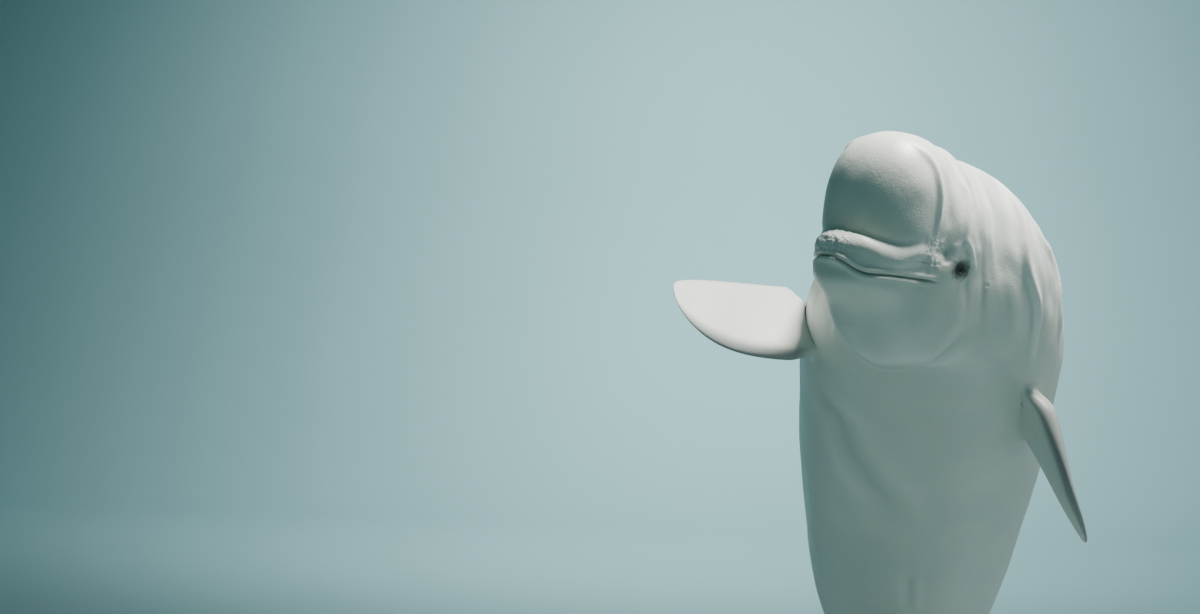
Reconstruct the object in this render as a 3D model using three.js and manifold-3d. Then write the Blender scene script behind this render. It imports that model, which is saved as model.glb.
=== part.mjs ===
// A beluga whale, life size, held up by a plain display stand.
// It rises towards the viewer with its belly showing, its head turned and its right flipper raised.
// Millimetres, +Z up. The origin is the middle of the stand's underside. The belly faces -Y, the whale's left is +X.
//
// The body is first shaped straight. There x is the distance to the whale's left, s the distance from the
// tip of the snout and h the height above the mouth. It is cut into its named parts there, and each part is
// then carried onto the bent spine.

import * as THREE from 'three';
import { mergeVertices } from 'three/addons/utils/BufferGeometryUtils.js';
import Module from 'manifold-3d';

const wasm = await Module();
wasm.setup();

// Driving dimensions
const BODY_LENGTH = 3800;
const GAP = 0.3;

// Where the tip of the snout is, and how the spine bends behind it. Angles are in degrees.
const SNOUT = new THREE.Vector3(-130, -1480, 2300);
const HEAD = { pitch: 4, yaw: -29, roll: 9.5 };
const TRUNK = { pitch: 41, yaw: 3.2, lean: 2.3 };
const LOIN_PITCH = 46.5;
const TAIL_PITCH = 25;
const NECK_BEND = [387, 1130];
const NECK_TURN = [387, 615];
const LOIN_BEND = [1000, 1900];
const TAIL_BEND = [2300, 3500];

// Sections of the straight body: distance from the snout, half width, back height, belly depth
const SECTIONS = [
  [15, 45, 20, 22],
  [50, 82, 40, 59],
  [120, 112, 70, 115],
  [200, 134, 125, 212],
  [310, 164, 279, 248],
  [420, 182, 286, 226],
  [550, 252, 277, 234],
  [750, 322, 300, 284],
  [1000, 361, 333, 312],
  [1350, 362, 330, 340],
  [1700, 345, 340, 340],
  [2100, 310, 318, 312],
  [2500, 222, 265, 256],
  [2900, 148, 195, 190],
  [3200, 92, 135, 135],
  [3400, 58, 92, 92],
  [3520, 48, 60, 60],
];
const SECTION_POWER = 2.15;

// Round forms of the head: centre and radii along (s, x, h)
const MELON = { at: [190, 0, 144], radii: [149, 141, 167], under: 240, power: 2.3 };
const LOWER_LIP = { at: [155, 0, -40], radii: [146, 106, 55] };
const CHEEK = { at: [235, 105, 10], radii: [60, 48, 55] };
const BROW = { at: [300, 80, 100], radii: [110, 90, 110] };

// Upper lip: a roll round an oval plate, narrower in front. Its height at the snout, its dip and its climb.
const UPPER_LIP = { s: 165, long: 126, wide: 100, narrow: 12, roll: 37, height: 28, dip: 7, climb: 24 };

// The low ridge that a beluga has in place of a back fin
const RIDGE = { from: 1720, to: 2380, height: 20, halfWidth: 30 };

// Centre of the head, from which its surface is measured, and of the sections behind it
const HEAD_CENTRE = { s: 220, h: 35 };
const CENTRE_DROPS = [200, 800];
const STOCK_END = 3400;

// Rings of the mesh: points on each, how many on the head, and their spacing on the neck and on the trunk
const AROUND = 40;
const HEAD_RINGS = 15;
const RING_SPACING = { neck: 38, trunk: 140, widens: [350, 1300] };

// Parts of the length that are nodes of their own
const NECK_START = 420;
const TRUNK_START = 750;
const TRUNK_MIDDLE = 1500;
const TAIL_START = 2420;
const FLUKE_START = 3440;

// Mouth: how far back its corner is, and the height of its line from the right side to the left
const MOUTH_CORNER = 205;
const MOUTH_LINE = [
  [-220, -16], [-110, -14], [-75, -6], [-45, 1], [-10, 2], [22, -7], [45, -18], [70, -24], [108, -19], [220, -16],
];
const CHIN_FLOOR = -400;

// The melon lies above the crease over the lip and in front of the crease behind it. Each is a plane through a
// point (s, h) that rises by an angle.
const MELON_CREASES = [{ s: 45, h: 60, rise: 4 }, { s: 215, h: 90, rise: 80 }];

// Eyes: place on the skin, radius of the ball, and how deep its centre is sunk
const EYE = { s: 275, h: 19, radius: 18, sunk: 15 };

// Flippers: widths before and behind the axis at the root and where they are widest, half thicknesses,
// the power that makes the leading edge blunt, how far the tip curls up, and the root's depth in the body
const FLIPPER = {
  length: 415,
  leading: { root: 74, widest: 150, at: 0.79 },
  trailing: { root: 84, widest: 168, at: 0.15 },
  thick: { root: 40, middle: 21, tip: 8 },
  blunt: 0.75,
  curl: 55,
  rootDepth: 60,
  around: 20,
  steps: 12,
};

// Place of each flipper's root on the body, directions to its tip and of its leading edge, and twist at the root
const FLIPPERS = {
  left: { side: 1, s: 870, angle: -38, tip: [0.2, 0.09, -0.975], lead: [0.16, -0.98, 0.04], twist: -12 },
  right: { side: -1, s: 875, angle: -14, tip: [-0.885, -0.365, 0.278], lead: [0.1, -0.63, -0.76], twist: 0 },
};

// Flukes: half the span, where the tips and the notch lie, half the thickness of the blade and of its edge,
// how far the tips droop, and the inner control points (s, x) of the leading and the trailing edge
const FLUKE = { halfSpan: 470, tip: 3745, notch: BODY_LENGTH, blade: 34, edge: 1.5, droop: 25 };
const LEADING_CONTROLS = [[3500, 75], [3600, 350]];
const TRAILING_CONTROLS = [[3895, 30], [3935, 300]];
const FLUKE_SHARES = [0.09, 0.2, 0.33, 0.47, 0.61, 0.75, 0.87, 0.95, 1];

// Stand
const BASE = { length: 2000, width: 1100, height: 40, corner: 120, bevel: 4 };
const RODS = {
  front: { x: 12, y: -58, radius: 45, top: 1330 },
  rear: { x: -53, y: 770, radius: 32, top: 700 },
};
const FOOT = { radius: 120, height: 14 };

// Materials
const skin = new THREE.MeshStandardMaterial({ color: 0xe9ebe6, roughness: 0.45, metalness: 0 });
const finSkin = new THREE.MeshStandardMaterial({ color: 0xdfe2de, roughness: 0.45, metalness: 0 });
const eyeSurface = new THREE.MeshStandardMaterial({ color: 0x17120f, roughness: 0.12, metalness: 0 });
const baseBoard = new THREE.MeshStandardMaterial({ color: 0x2c2e31, roughness: 0.55, metalness: 0 });
const rodSteel = new THREE.MeshStandardMaterial({ color: 0x8d9093, roughness: 0.35, metalness: 1 });

const whale = new THREE.Group();

// Small helpers
const degrees = THREE.MathUtils.degToRad;
const mix = THREE.MathUtils.lerp;
const ease = (x, [from, to]) => THREE.MathUtils.smoothstep(x, from, to);

// The smaller of two distances, rounded where they meet over a width of round
function blend(a, b, round) {
  const t = THREE.MathUtils.clamp(0.5 + (b - a) / (2 * round), 0, 1);
  return mix(b, a, t) - round * t * (1 - t);
}

// Signed distance, near enough, to an ellipsoid
function ellipsoid([s, x, h], { at, radii }) {
  const [a, b, c] = [(s - at[0]) / radii[0], (x - at[1]) / radii[1], (h - at[2]) / radii[2]];
  const k0 = Math.hypot(a, b, c);
  const k1 = Math.hypot(a / radii[0], b / radii[1], c / radii[2]);
  return k0 * (k0 - 1) / Math.max(k1, 1e-9);
}

// The same for a rounder, boxier form
function boxyEllipsoid([s, x, h], { at, radii, power }) {
  const k = [s, x, h].reduce((sum, value, i) => sum + Math.abs((value - at[i]) / radii[i]) ** power, 0);
  return (k ** (1 / power) - 1) * Math.min(...radii);
}

// The melon: its upper half is a boxy ellipsoid, and its lower half the same drawn out downwards
function melonDistance([s, x, h]) {
  const above = h - MELON.at[2];
  const drawn = above < 0 ? above * MELON.radii[2] / MELON.under : above;
  return boxyEllipsoid([s, x, MELON.at[2] + drawn], MELON);
}

// The upper lip: distance to a level oval plate, less the radius of the roll at its rim
function upperLipDistance([s, x, h]) {
  const { long, wide, narrow, roll, height, dip, climb } = UPPER_LIP;
  const width = wide - narrow * (1 - ease(s, [40, 150]));
  const [a, b] = [(s - UPPER_LIP.s) / long, x / width];
  const k0 = Math.hypot(a, b);
  const k1 = Math.hypot(a / long, b / width);
  const outside = Math.max(k0 * (k0 - 1) / Math.max(k1, 1e-9), 0);
  const above = h - height + dip * ease(s, [20, 55]) - climb * ease(s, [65, 155]);
  return Math.hypot(outside, above) - roll * (1 - 0.5 * ease(s, [185, 250]));
}

// Monotone cubic curve through one column of the sections
function sectionCurve(column) {
  const xs = SECTIONS.map((row) => row[0]);
  const ys = SECTIONS.map((row) => row[column]);
  const last = xs.length - 1;
  const step = xs.slice(1).map((x, i) => x - xs[i]);
  const rise = ys.slice(1).map((y, i) => (y - ys[i]) / step[i]);
  const slope = ys.map((_, i) => {
    if (i === 0) return rise[0];
    if (i === last) return rise[last - 1];
    if (rise[i - 1] * rise[i] <= 0) return 0;
    const w1 = 2 * step[i] + step[i - 1];
    const w2 = step[i] + 2 * step[i - 1];
    return (w1 + w2) / (w1 / rise[i - 1] + w2 / rise[i]);
  });
  return (x) => {
    const at = THREE.MathUtils.clamp(x, xs[0], xs[last]);
    const i = Math.min(Math.max(xs.findIndex((value) => value >= at) - 1, 0), last - 1);
    const t = (at - xs[i]) / step[i];
    const fromLeft = (2 * t ** 3 - 3 * t ** 2 + 1) * ys[i] + (t ** 3 - 2 * t ** 2 + t) * step[i] * slope[i];
    const fromRight = (3 * t ** 2 - 2 * t ** 3) * ys[i + 1] + (t ** 3 - t ** 2) * step[i] * slope[i + 1];
    return fromLeft + fromRight;
  };
}
const halfWidth = sectionCurve(1);
const backHeight = sectionCurve(2);
const bellyDepth = sectionCurve(3);

// Signed distance to the lofted body: superellipses that follow the sections
function loftedBody([s, x, h]) {
  const width = halfWidth(s);
  const half = (backHeight(s) + bellyDepth(s)) / 2;
  const middle = (backHeight(s) - bellyDepth(s)) / 2;
  const reach = (Math.abs(x / width) ** SECTION_POWER + Math.abs((h - middle) / half) ** SECTION_POWER)
    ** (1 / SECTION_POWER);
  return (reach - 1) * Math.min(width, half) + Math.max(SECTIONS[0][0] - s, 0);
}

// Height of the ridge along the back, which fades at its ends and sides
function ridge([s, x, h]) {
  if (h < 0) return 0;
  const along = ease(s, [RIDGE.from, RIDGE.from + 200]) * (1 - ease(s, [RIDGE.to - 250, RIDGE.to]));
  return RIDGE.height * along * Math.exp(-((x / RIDGE.halfWidth) ** 2));
}

// Signed distance to the whole body, without fins
function bodyDistance([s, x, h]) {
  const side = [s, Math.abs(x), h];
  let d = loftedBody(side);
  d = blend(d, ellipsoid(side, BROW), 50);
  d = blend(d, ellipsoid(side, LOWER_LIP), 30);
  d = blend(d, melonDistance(side), 22 + 55 * ease(s, [100, 260]));
  d = blend(d, ellipsoid(side, CHEEK), 30);
  d = blend(d, upperLipDistance(side), 12);
  return d - ridge([s, x, h]);
}

// Point on a ray from the body's inside where the distance is level
function onSkin([s, x, h], [ds, dx, dh], level = 0) {
  let near = 0;
  let far = 700;
  while (far - near > 0.02) {
    const middle = (near + far) / 2;
    const inside = bodyDistance([s + middle * ds, x + middle * dx, h + middle * dh]) < level;
    if (inside) near = middle;
    else far = middle;
  }
  return [s + near * ds, x + near * dx, h + near * dh];
}

const centreHeight = (s) => HEAD_CENTRE.h * (1 - ease(s, CENTRE_DROPS));

// One ring of the body behind the head's centre
function tubeRing(s, level = 0) {
  return Array.from({ length: AROUND }, (_, j) => {
    const angle = 2 * Math.PI * j / AROUND;
    return onSkin([s, 0, centreHeight(s)], [0, Math.cos(angle), Math.sin(angle)], level);
  });
}

// One ring of the head in front of its centre, on a cone that opens from the snout's tip
function headRing(opening) {
  const axis = new THREE.Vector2(-HEAD_CENTRE.s, -HEAD_CENTRE.h).normalize();
  return Array.from({ length: AROUND }, (_, j) => {
    const angle = 2 * Math.PI * j / AROUND;
    const ds = Math.cos(opening) * axis.x;
    const dx = Math.sin(opening) * Math.cos(angle);
    const dh = Math.cos(opening) * axis.y + Math.sin(opening) * Math.sin(angle);
    return onSkin([HEAD_CENTRE.s, 0, HEAD_CENTRE.h], [ds, dx, dh]);
  });
}

// Point on a cubic curve with four control points
function bezier(points, t) {
  const weights = [(1 - t) ** 3, 3 * t * (1 - t) ** 2, 3 * t * t * (1 - t), t ** 3];
  return [0, 1].map((k) => weights.reduce((sum, weight, i) => sum + weight * points[i][k], 0));
}

// One ring of the flukes. Its outline runs from the tail stock (q = 0) to the trailing edge (q = 1).
// xi goes from -1 to 1 across the ring. The plan is the patch between the stock's end, the leading edges
// and the trailing edge, and the height is the stock's section, flattened to the blade.
function flukeRing(stockRing, q) {
  const width = Math.max(...stockRing.map((p) => p[1]));
  const half = Math.max(...stockRing.map((p) => p[2]));
  const tip = [FLUKE.tip, FLUKE.halfSpan];
  const leading = bezier([[STOCK_END, width], ...LEADING_CONTROLS, tip], q);
  const middle = mix(STOCK_END, FLUKE.notch, q);
  return stockRing.map(([, x, h]) => {
    const xi = Math.min(Math.abs(x) / width, 1);
    const trailing = bezier([[FLUKE.notch, 0], ...TRAILING_CONTROLS, tip], xi);
    const corners = mix(STOCK_END, mix(FLUKE.notch, FLUKE.tip, xi), q);
    const s = mix(STOCK_END, trailing[0], q) + mix(middle, leading[0], xi) - corners;
    const out = mix(width * xi, trailing[1], q) + mix(0, leading[1], xi) - mix(width * xi, FLUKE.halfSpan * xi, q);
    const thick = (half - FLUKE.blade) * (1 - ease(q, [0, 0.6])) + FLUKE.blade * (1 - q) ** 0.8 + FLUKE.edge;
    const round = THREE.MathUtils.clamp(h / half, -1, 1);
    const share = q < 1 ? round : Math.sign(round) * Math.sqrt(Math.abs(round));
    const lift = -FLUKE.droop * (out / FLUKE.halfSpan) ** 2;
    return [s, Math.sign(x) * out, share * thick + lift];
  });
}

// Faces of the sides between rings of n points each
function sideFaces(ringCount, n) {
  const faces = [];
  for (let i = 0; i < ringCount - 1; i += 1) {
    for (let j = 0; j < n; j += 1) {
      const [a, b] = [i * n + j, i * n + (j + 1) % n];
      faces.push(a, a + n, b + n, a, b + n, b);
    }
  }
  return faces;
}

// Closed solid from rings of equal length. Each end is closed by a fan to a point.
function lofted(rings, firstPoint, lastPoint) {
  const n = rings[0].length;
  const points = [...rings.flat(), firstPoint, lastPoint];
  const first = points.length - 2;
  const last = points.length - 1;
  const end = (rings.length - 1) * n;
  const faces = sideFaces(rings.length, n);
  for (let j = 0; j < n; j += 1) {
    const next = (j + 1) % n;
    faces.push(first, j, next, last, end + next, end + j);
  }
  return meshOf(points, faces);
}

// Geometry from points and faces, turned so that its faces point outwards
function meshOf(points, faces) {
  const geometry = new THREE.BufferGeometry();
  geometry.setAttribute('position', new THREE.Float32BufferAttribute(points.flat(), 3));
  geometry.setIndex(faces);
  return pointOutwards(geometry);
}

function pointOutwards(geometry) {
  const index = geometry.index.array;
  const corner = [new THREE.Vector3(), new THREE.Vector3(), new THREE.Vector3()];
  let volume = 0;
  for (let i = 0; i < index.length; i += 3) {
    corner.forEach((v, k) => v.fromBufferAttribute(geometry.attributes.position, index[i + k]));
    volume += corner[0].dot(corner[1].cross(corner[2]));
  }
  if (volume < 0) {
    for (let i = 0; i < index.length; i += 3) [index[i], index[i + 1]] = [index[i + 1], index[i]];
  }
  return geometry;
}

// Solids for joining and cutting, and back to a geometry
function solid(geometry) {
  const plain = new THREE.BufferGeometry();
  plain.setAttribute('position', geometry.attributes.position);
  plain.setIndex(geometry.index);
  const merged = mergeVertices(plain, 1e-4);
  const vertProperties = new Float32Array(merged.attributes.position.array);
  const triVerts = new Uint32Array(merged.index.array);
  return new wasm.Manifold(new wasm.Mesh({ numProp: 3, vertProperties, triVerts }));
}

function geometryOf(body) {
  const mesh = body.getMesh();
  const geometry = new THREE.BufferGeometry();
  geometry.setAttribute('position', new THREE.Float32BufferAttribute(mesh.vertProperties, 3));
  geometry.setIndex(Array.from(mesh.triVerts));
  return geometry;
}

// Box between two corners, in the order x, s, h of the straight body
function boxBetween(low, high) {
  const size = high.map((value, k) => value - low[k]);
  const geometry = new THREE.BoxGeometry(...size);
  geometry.translate(...low.map((value, k) => value + size[k] / 2));
  return geometry;
}

// The spine. Directions at a distance s from the snout: across to the left, along to the tail, up to the back.
const AXES = {
  across: new THREE.Vector3(1, 0, 0),
  along: new THREE.Vector3(0, 1, 0),
  up: new THREE.Vector3(0, 0, 1),
};

function directions(s) {
  const bent = ease(s, NECK_BEND);
  const turned = ease(s, NECK_TURN);
  let pitch = mix(HEAD.pitch, TRUNK.pitch, bent);
  pitch += (LOIN_PITCH - TRUNK.pitch) * ease(s, LOIN_BEND) + (TAIL_PITCH - LOIN_PITCH) * ease(s, TAIL_BEND);
  const yaw = mix(HEAD.yaw, TRUNK.yaw, turned);
  const roll = HEAD.roll * (1 - bent);
  const lean = TRUNK.lean * bent;
  const turn = new THREE.Matrix4().makeRotationY(degrees(lean));
  turn.multiply(new THREE.Matrix4().makeRotationZ(degrees(yaw)));
  turn.multiply(new THREE.Matrix4().makeRotationX(degrees(-pitch)));
  turn.multiply(new THREE.Matrix4().makeRotationY(degrees(roll)));
  return Object.fromEntries(Object.entries(AXES).map(([key, axis]) => [key, axis.clone().applyMatrix4(turn)]));
}

// Points of the spine every SPINE_STEP, summed up from the snout
const SPINE_STEP = 5;
const spine = [SNOUT.clone()];
for (let s = 0; s < BODY_LENGTH + 300; s += SPINE_STEP) {
  const middle = directions(s + SPINE_STEP / 2).along;
  spine.push(spine[spine.length - 1].clone().addScaledVector(middle, SPINE_STEP));
}

function place(x, s, h) {
  const at = THREE.MathUtils.clamp(s / SPINE_STEP, 0, spine.length - 2);
  const i = Math.floor(at);
  const { across, up } = directions(s);
  const point = spine[i].clone().lerp(spine[i + 1], at - i);
  if (s < 0) point.addScaledVector(directions(0).along, s);
  return point.addScaledVector(across, x).addScaledVector(up, h);
}

// Carries a geometry from the straight body onto the bent spine
function bend(geometry) {
  const position = geometry.attributes.position;
  for (let i = 0; i < position.count; i += 1) {
    const point = place(position.getX(i), position.getY(i), position.getZ(i));
    position.setXYZ(i, point.x, point.y, point.z);
  }
  return geometry;
}

function addNode(name, geometry, material) {
  const mesh = new THREE.Mesh(geometry, material);
  mesh.name = name;
  whale.add(mesh);
}

// Distances of the rings behind the head: close together at the neck and far apart on the trunk
function ringPlaces() {
  const places = [];
  let s = HEAD_CENTRE.s;
  while (s < STOCK_END - RING_SPACING.trunk / 2) {
    s += mix(RING_SPACING.neck, RING_SPACING.trunk, ease(s, RING_SPACING.widens));
    places.push(s);
  }
  places[places.length - 1] = STOCK_END;
  return places;
}

const inOrder = ([s, x, h]) => [x, s, h];

// The whole straight body as one solid: head, tube and flukes
function straightBody() {
  const openings = Array.from({ length: HEAD_RINGS }, (_, i) => (Math.PI / 2) * ((i + 1) / HEAD_RINGS));
  const headRings = openings.map(headRing);
  const tubeRings = ringPlaces().map((s) => tubeRing(s));
  const stockRing = tubeRings[tubeRings.length - 1];
  const flukeRings = FLUKE_SHARES.map((q) => flukeRing(stockRing, q));
  const rings = [...headRings, ...tubeRings, ...flukeRings].map((ring) => ring.map(inOrder));
  const n = AROUND;
  const points = [...rings.flat()];
  const faces = sideFaces(rings.length, n);
  const snout = points.length;
  const axis = [-HEAD_CENTRE.s, 0, -HEAD_CENTRE.h];
  const length = Math.hypot(...axis);
  points.push(inOrder(onSkin([HEAD_CENTRE.s, 0, HEAD_CENTRE.h], axis.map((value) => value / length))));
  for (let j = 0; j < n; j += 1) faces.push(snout, j, (j + 1) % n);
  // The trailing edge is closed by a strip between its upper and its lower line.
  const end = (rings.length - 1) * n;
  for (let j = 0; j < n / 2; j += 1) {
    const [a, b, c, d] = [end + j, end + j + 1, end + (n - j - 1), end + (n - j) % n];
    if (a !== d) faces.push(a, d, c);
    if (b !== c) faces.push(a, c, b);
  }
  return meshOf(points, faces);
}

// The bent body made a little thicker, on the rings between two places. Fins and rods are cut to it.
function thickened(from, to) {
  const places = ringPlaces().filter((s) => s > from && s < to);
  const rings = places.map((s) => tubeRing(s, GAP * 2).map(inOrder));
  const ends = [places[0], places[places.length - 1]].map((s) => [0, s, 0]);
  return solid(bend(lofted(rings, ...ends)));
}

// Lower side of the mouth line as a closed shape that reaches back to the corner of the mouth
function jawRegion(clearance) {
  const edge = MOUTH_LINE[MOUTH_LINE.length - 1][0];
  const shape = new THREE.Shape();
  shape.moveTo(-edge, CHIN_FLOOR);
  MOUTH_LINE.forEach(([x, h]) => shape.lineTo(x, h + clearance));
  shape.lineTo(edge, CHIN_FLOOR);
  shape.closePath();
  const depth = MOUTH_CORNER + 100 + clearance;
  const geometry = new THREE.ExtrudeGeometry(shape, { depth, bevelEnabled: false });
  // The shape's own depth becomes the direction from snout to tail.
  geometry.rotateX(Math.PI / 2);
  geometry.translate(0, MOUTH_CORNER + clearance, 0);
  return solid(asIndexed(geometry));
}

function asIndexed(geometry) {
  const plain = new THREE.BufferGeometry();
  plain.setAttribute('position', geometry.attributes.position);
  if (geometry.index) plain.setIndex(geometry.index);
  return mergeVertices(plain, 1e-4);
}

// Wedge between the two creases of the melon, where two large tilted boxes overlap
function melonRegion(clearance) {
  const size = 1200;
  const [overLip, behind] = MELON_CREASES.map(({ s, h, rise }) => {
    const geometry = new THREE.BoxGeometry(size, size, size);
    geometry.translate(0, 0, size / 2 - clearance);
    geometry.rotateX(degrees(rise));
    geometry.translate(0, s, h);
    return solid(geometry);
  });
  return overLip.intersect(behind);
}

// Box that holds the ridge along the back
function ridgeRegion(clearance) {
  const lowest = (s) => backHeight(s) - 6;
  const slope = Math.atan2(lowest(RIDGE.to) - lowest(RIDGE.from), RIDGE.to - RIDGE.from);
  const length = RIDGE.to - RIDGE.from + 2 * clearance;
  const geometry = new THREE.BoxGeometry(4 * RIDGE.halfWidth + 2 * clearance, length, 200);
  geometry.translate(0, 0, 100 - clearance);
  geometry.rotateX(slope);
  geometry.translate(0, (RIDGE.from + RIDGE.to) / 2, (lowest(RIDGE.from) + lowest(RIDGE.to)) / 2);
  return solid(geometry);
}

// Eyeball in the straight head, made larger by clearance for its socket
function eyeball(side, clearance) {
  const [, x] = onSkin([EYE.s, 0, EYE.h], [0, side, 0]);
  const geometry = new THREE.SphereGeometry(EYE.radius + clearance, 12, 8);
  geometry.rotateZ(Math.PI / 2);
  geometry.translate(x - side * EYE.sunk, EYE.s, EYE.h);
  return asIndexed(geometry);
}

// Flipper: lenses carried along a straight axis. u runs from the trailing (-1) to the leading edge (1).
function flipper({ side, s, angle, tip, lead, twist }) {
  const { length, leading, trailing, thick, blunt, curl, rootDepth, around, steps } = FLIPPER;
  const outward = degrees(angle);
  const [rs, rx, rh] = onSkin([s, 0, centreHeight(s)], [0, side * Math.cos(outward), Math.sin(outward)]);
  const root = place(rx, rs, rh);
  const axis = new THREE.Vector3(...tip).normalize();
  const chord = new THREE.Vector3(...lead);
  chord.addScaledVector(axis, -chord.dot(axis)).normalize();
  const chordAt = (t) => chord.clone().applyAxisAngle(axis, degrees(twist) * (1 - ease(t, [0, 0.7])));
  const downAt = (t) => new THREE.Vector3().crossVectors(axis, chordAt(t)).multiplyScalar(side);
  const centreAt = (t) => {
    const bent = -curl * Math.max(t, 0) ** 2;
    return root.clone().addScaledVector(axis, t * length).addScaledVector(downAt(t), bent);
  };
  const shares = Array.from({ length: steps }, (_, i) => 1 - (1 - i / steps) ** 1.5);
  const rings = [-rootDepth / length, ...shares].map((t) => {
    const along = Math.max(t, 0);
    const swell = Math.sin((Math.PI / 2) * Math.min(along / leading.at, 1));
    const before = mix(leading.root, leading.widest, swell) * Math.sqrt(1 - along ** 4);
    const tapering = Math.min(1, (1 - along) / (1 - trailing.at)) ** 0.67;
    const behind = mix(trailing.root, trailing.widest, ease(along, [0, trailing.at])) * tapering;
    const tapered = mix(mix(thick.root, thick.middle, ease(t, [0, 0.6])), thick.tip, ease(t, [0.6, 1]));
    const halfThick = tapered * Math.sqrt(1 - along ** 6);
    return Array.from({ length: around }, (_, j) => {
      const turn = 2 * Math.PI * j / around;
      const u = Math.cos(turn);
      const across = u > 0 ? u ** blunt * before : u * behind;
      const lift = Math.sin(turn) * (0.66 + 0.34 * u) * halfThick;
      return centreAt(t).addScaledVector(chordAt(t), across).addScaledVector(downAt(t), lift).toArray();
    });
  });
  return solid(lofted(rings, centreAt(-rootDepth / length).toArray(), centreAt(1).toArray()));
}

// Body, cut into its parts while it is straight
const wholeBody = solid(straightBody());
const reach = 900;
const slice = (from, to) => solid(boxBetween([-reach, from + GAP / 2, -reach], [reach, to - GAP / 2, reach]));
const half = (side) => {
  const [low, high] = side > 0 ? [GAP / 2, reach] : [-reach, -GAP / 2];
  return solid(boxBetween([low, FLUKE_START + GAP / 2, -reach], [high, BODY_LENGTH + 400, reach]));
};
const sockets = solid(eyeball(1, GAP)).add(solid(eyeball(-1, GAP)));
const wholeHead = wholeBody.intersect(slice(-100, NECK_START)).subtract(sockets);
const upperHead = wholeHead.subtract(jawRegion(GAP));
const rearTrunk = wholeBody.intersect(slice(TRUNK_MIDDLE, TAIL_START));
const bodyParts = {
  head: upperHead.subtract(melonRegion(GAP)),
  melon: upperHead.intersect(melonRegion(0)),
  lower_jaw: wholeHead.intersect(jawRegion(0)),
  neck: wholeBody.intersect(slice(NECK_START, TRUNK_START)),
  trunk_front: wholeBody.intersect(slice(TRUNK_START, TRUNK_MIDDLE)),
  trunk_rear: rearTrunk.subtract(ridgeRegion(GAP)),
  dorsal_ridge: rearTrunk.intersect(ridgeRegion(0)),
  tail_stock: wholeBody.intersect(slice(TAIL_START, FLUKE_START)),
  fluke_left: wholeBody.intersect(half(1)),
  fluke_right: wholeBody.intersect(half(-1)),
};
for (const [name, part] of Object.entries(bodyParts)) addNode(name, bend(geometryOf(part)), skin);

addNode('eye_left', bend(eyeball(1, 0)), eyeSurface);
addNode('eye_right', bend(eyeball(-1, 0)), eyeSurface);

const shoulders = thickened(550, 1350);
for (const [name, sizes] of Object.entries(FLIPPERS)) {
  addNode(`flipper_${name}`, geometryOf(flipper(sizes).subtract(shoulders)), finSkin);
}

// Stand: a rounded board, and two rods on round feet that reach up to the belly
function standBase() {
  const [w, l, r] = [BASE.width / 2 - BASE.bevel, BASE.length / 2 - BASE.bevel, BASE.corner];
  const outline = new THREE.Shape();
  outline.moveTo(-w + r, -l);
  outline.lineTo(w - r, -l);
  outline.absarc(w - r, -l + r, r, -Math.PI / 2, 0);
  outline.absarc(w - r, l - r, r, 0, Math.PI / 2);
  outline.absarc(-w + r, l - r, r, Math.PI / 2, Math.PI);
  outline.absarc(-w + r, -l + r, r, Math.PI, 1.5 * Math.PI);
  const depth = BASE.height - 2 * BASE.bevel;
  const bevel = { bevelThickness: BASE.bevel, bevelSize: BASE.bevel, bevelSegments: 1 };
  const geometry = new THREE.ExtrudeGeometry(outline, { depth, curveSegments: 4, bevelEnabled: true, ...bevel });
  geometry.translate(0, 0, BASE.bevel);
  return asIndexed(geometry);
}

function uprightRod({ x, y, radius, top }, bottom) {
  const geometry = new THREE.CylinderGeometry(radius, radius, top - bottom, 24);
  geometry.rotateX(Math.PI / 2);
  geometry.translate(x, y, (top + bottom) / 2);
  return solid(geometry);
}

addNode('stand_base', standBase(), baseBoard);
const hind = thickened(1500, 3450);
for (const [name, rod] of Object.entries(RODS)) {
  const footBottom = BASE.height + GAP;
  const footTop = footBottom + FOOT.height;
  const foot = { ...rod, radius: name === 'front' ? FOOT.radius : FOOT.radius * 0.75, top: footTop };
  addNode(`stand_foot_${name}`, geometryOf(uprightRod(foot, footBottom)), rodSteel);
  addNode(`stand_rod_${name}`, geometryOf(uprightRod(rod, footTop + GAP).subtract(hind)), rodSteel);
}

export default whale;
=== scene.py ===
"""A life-size beluga whale that rises with its belly forward, on a plain display stand.

The whale is one skin. It is worked out straight first, where a point is (s, x, h): s is the distance from
the tip of the snout, x the distance to the whale's left and h the height above the mouth. Then it is carried
onto the bent spine. All sizes are metres, and angles are degrees unless a name says otherwise.
"""
import math

import bpy
import numpy as np
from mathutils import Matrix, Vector


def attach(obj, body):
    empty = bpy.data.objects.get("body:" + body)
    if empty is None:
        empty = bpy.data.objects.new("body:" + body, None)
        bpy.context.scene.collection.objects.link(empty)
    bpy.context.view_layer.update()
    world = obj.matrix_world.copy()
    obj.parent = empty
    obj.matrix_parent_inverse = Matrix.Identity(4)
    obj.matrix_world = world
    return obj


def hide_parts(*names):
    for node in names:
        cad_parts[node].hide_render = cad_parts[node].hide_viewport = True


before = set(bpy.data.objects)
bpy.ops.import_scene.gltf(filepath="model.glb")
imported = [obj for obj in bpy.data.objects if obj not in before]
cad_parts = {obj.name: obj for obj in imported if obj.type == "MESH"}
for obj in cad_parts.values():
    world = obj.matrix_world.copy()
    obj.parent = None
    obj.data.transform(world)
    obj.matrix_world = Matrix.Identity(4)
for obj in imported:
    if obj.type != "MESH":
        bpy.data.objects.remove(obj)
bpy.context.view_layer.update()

# Sizes of the solids, repeated here in metres
BODY_LENGTH = 3.8
SNOUT = np.array([-0.130, -1.480, 2.300])
HEAD_PITCH, HEAD_YAW, HEAD_ROLL = 4.0, -29.0, 9.5
TRUNK_PITCH, TRUNK_YAW, TRUNK_LEAN = 41.0, 3.2, 2.3
LOIN_PITCH, TAIL_PITCH = 46.5, 25.0
NECK_BEND, NECK_TURN = (0.387, 1.130), (0.387, 0.615)
LOIN_BEND, TAIL_BEND = (1.000, 1.900), (2.300, 3.500)

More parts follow.
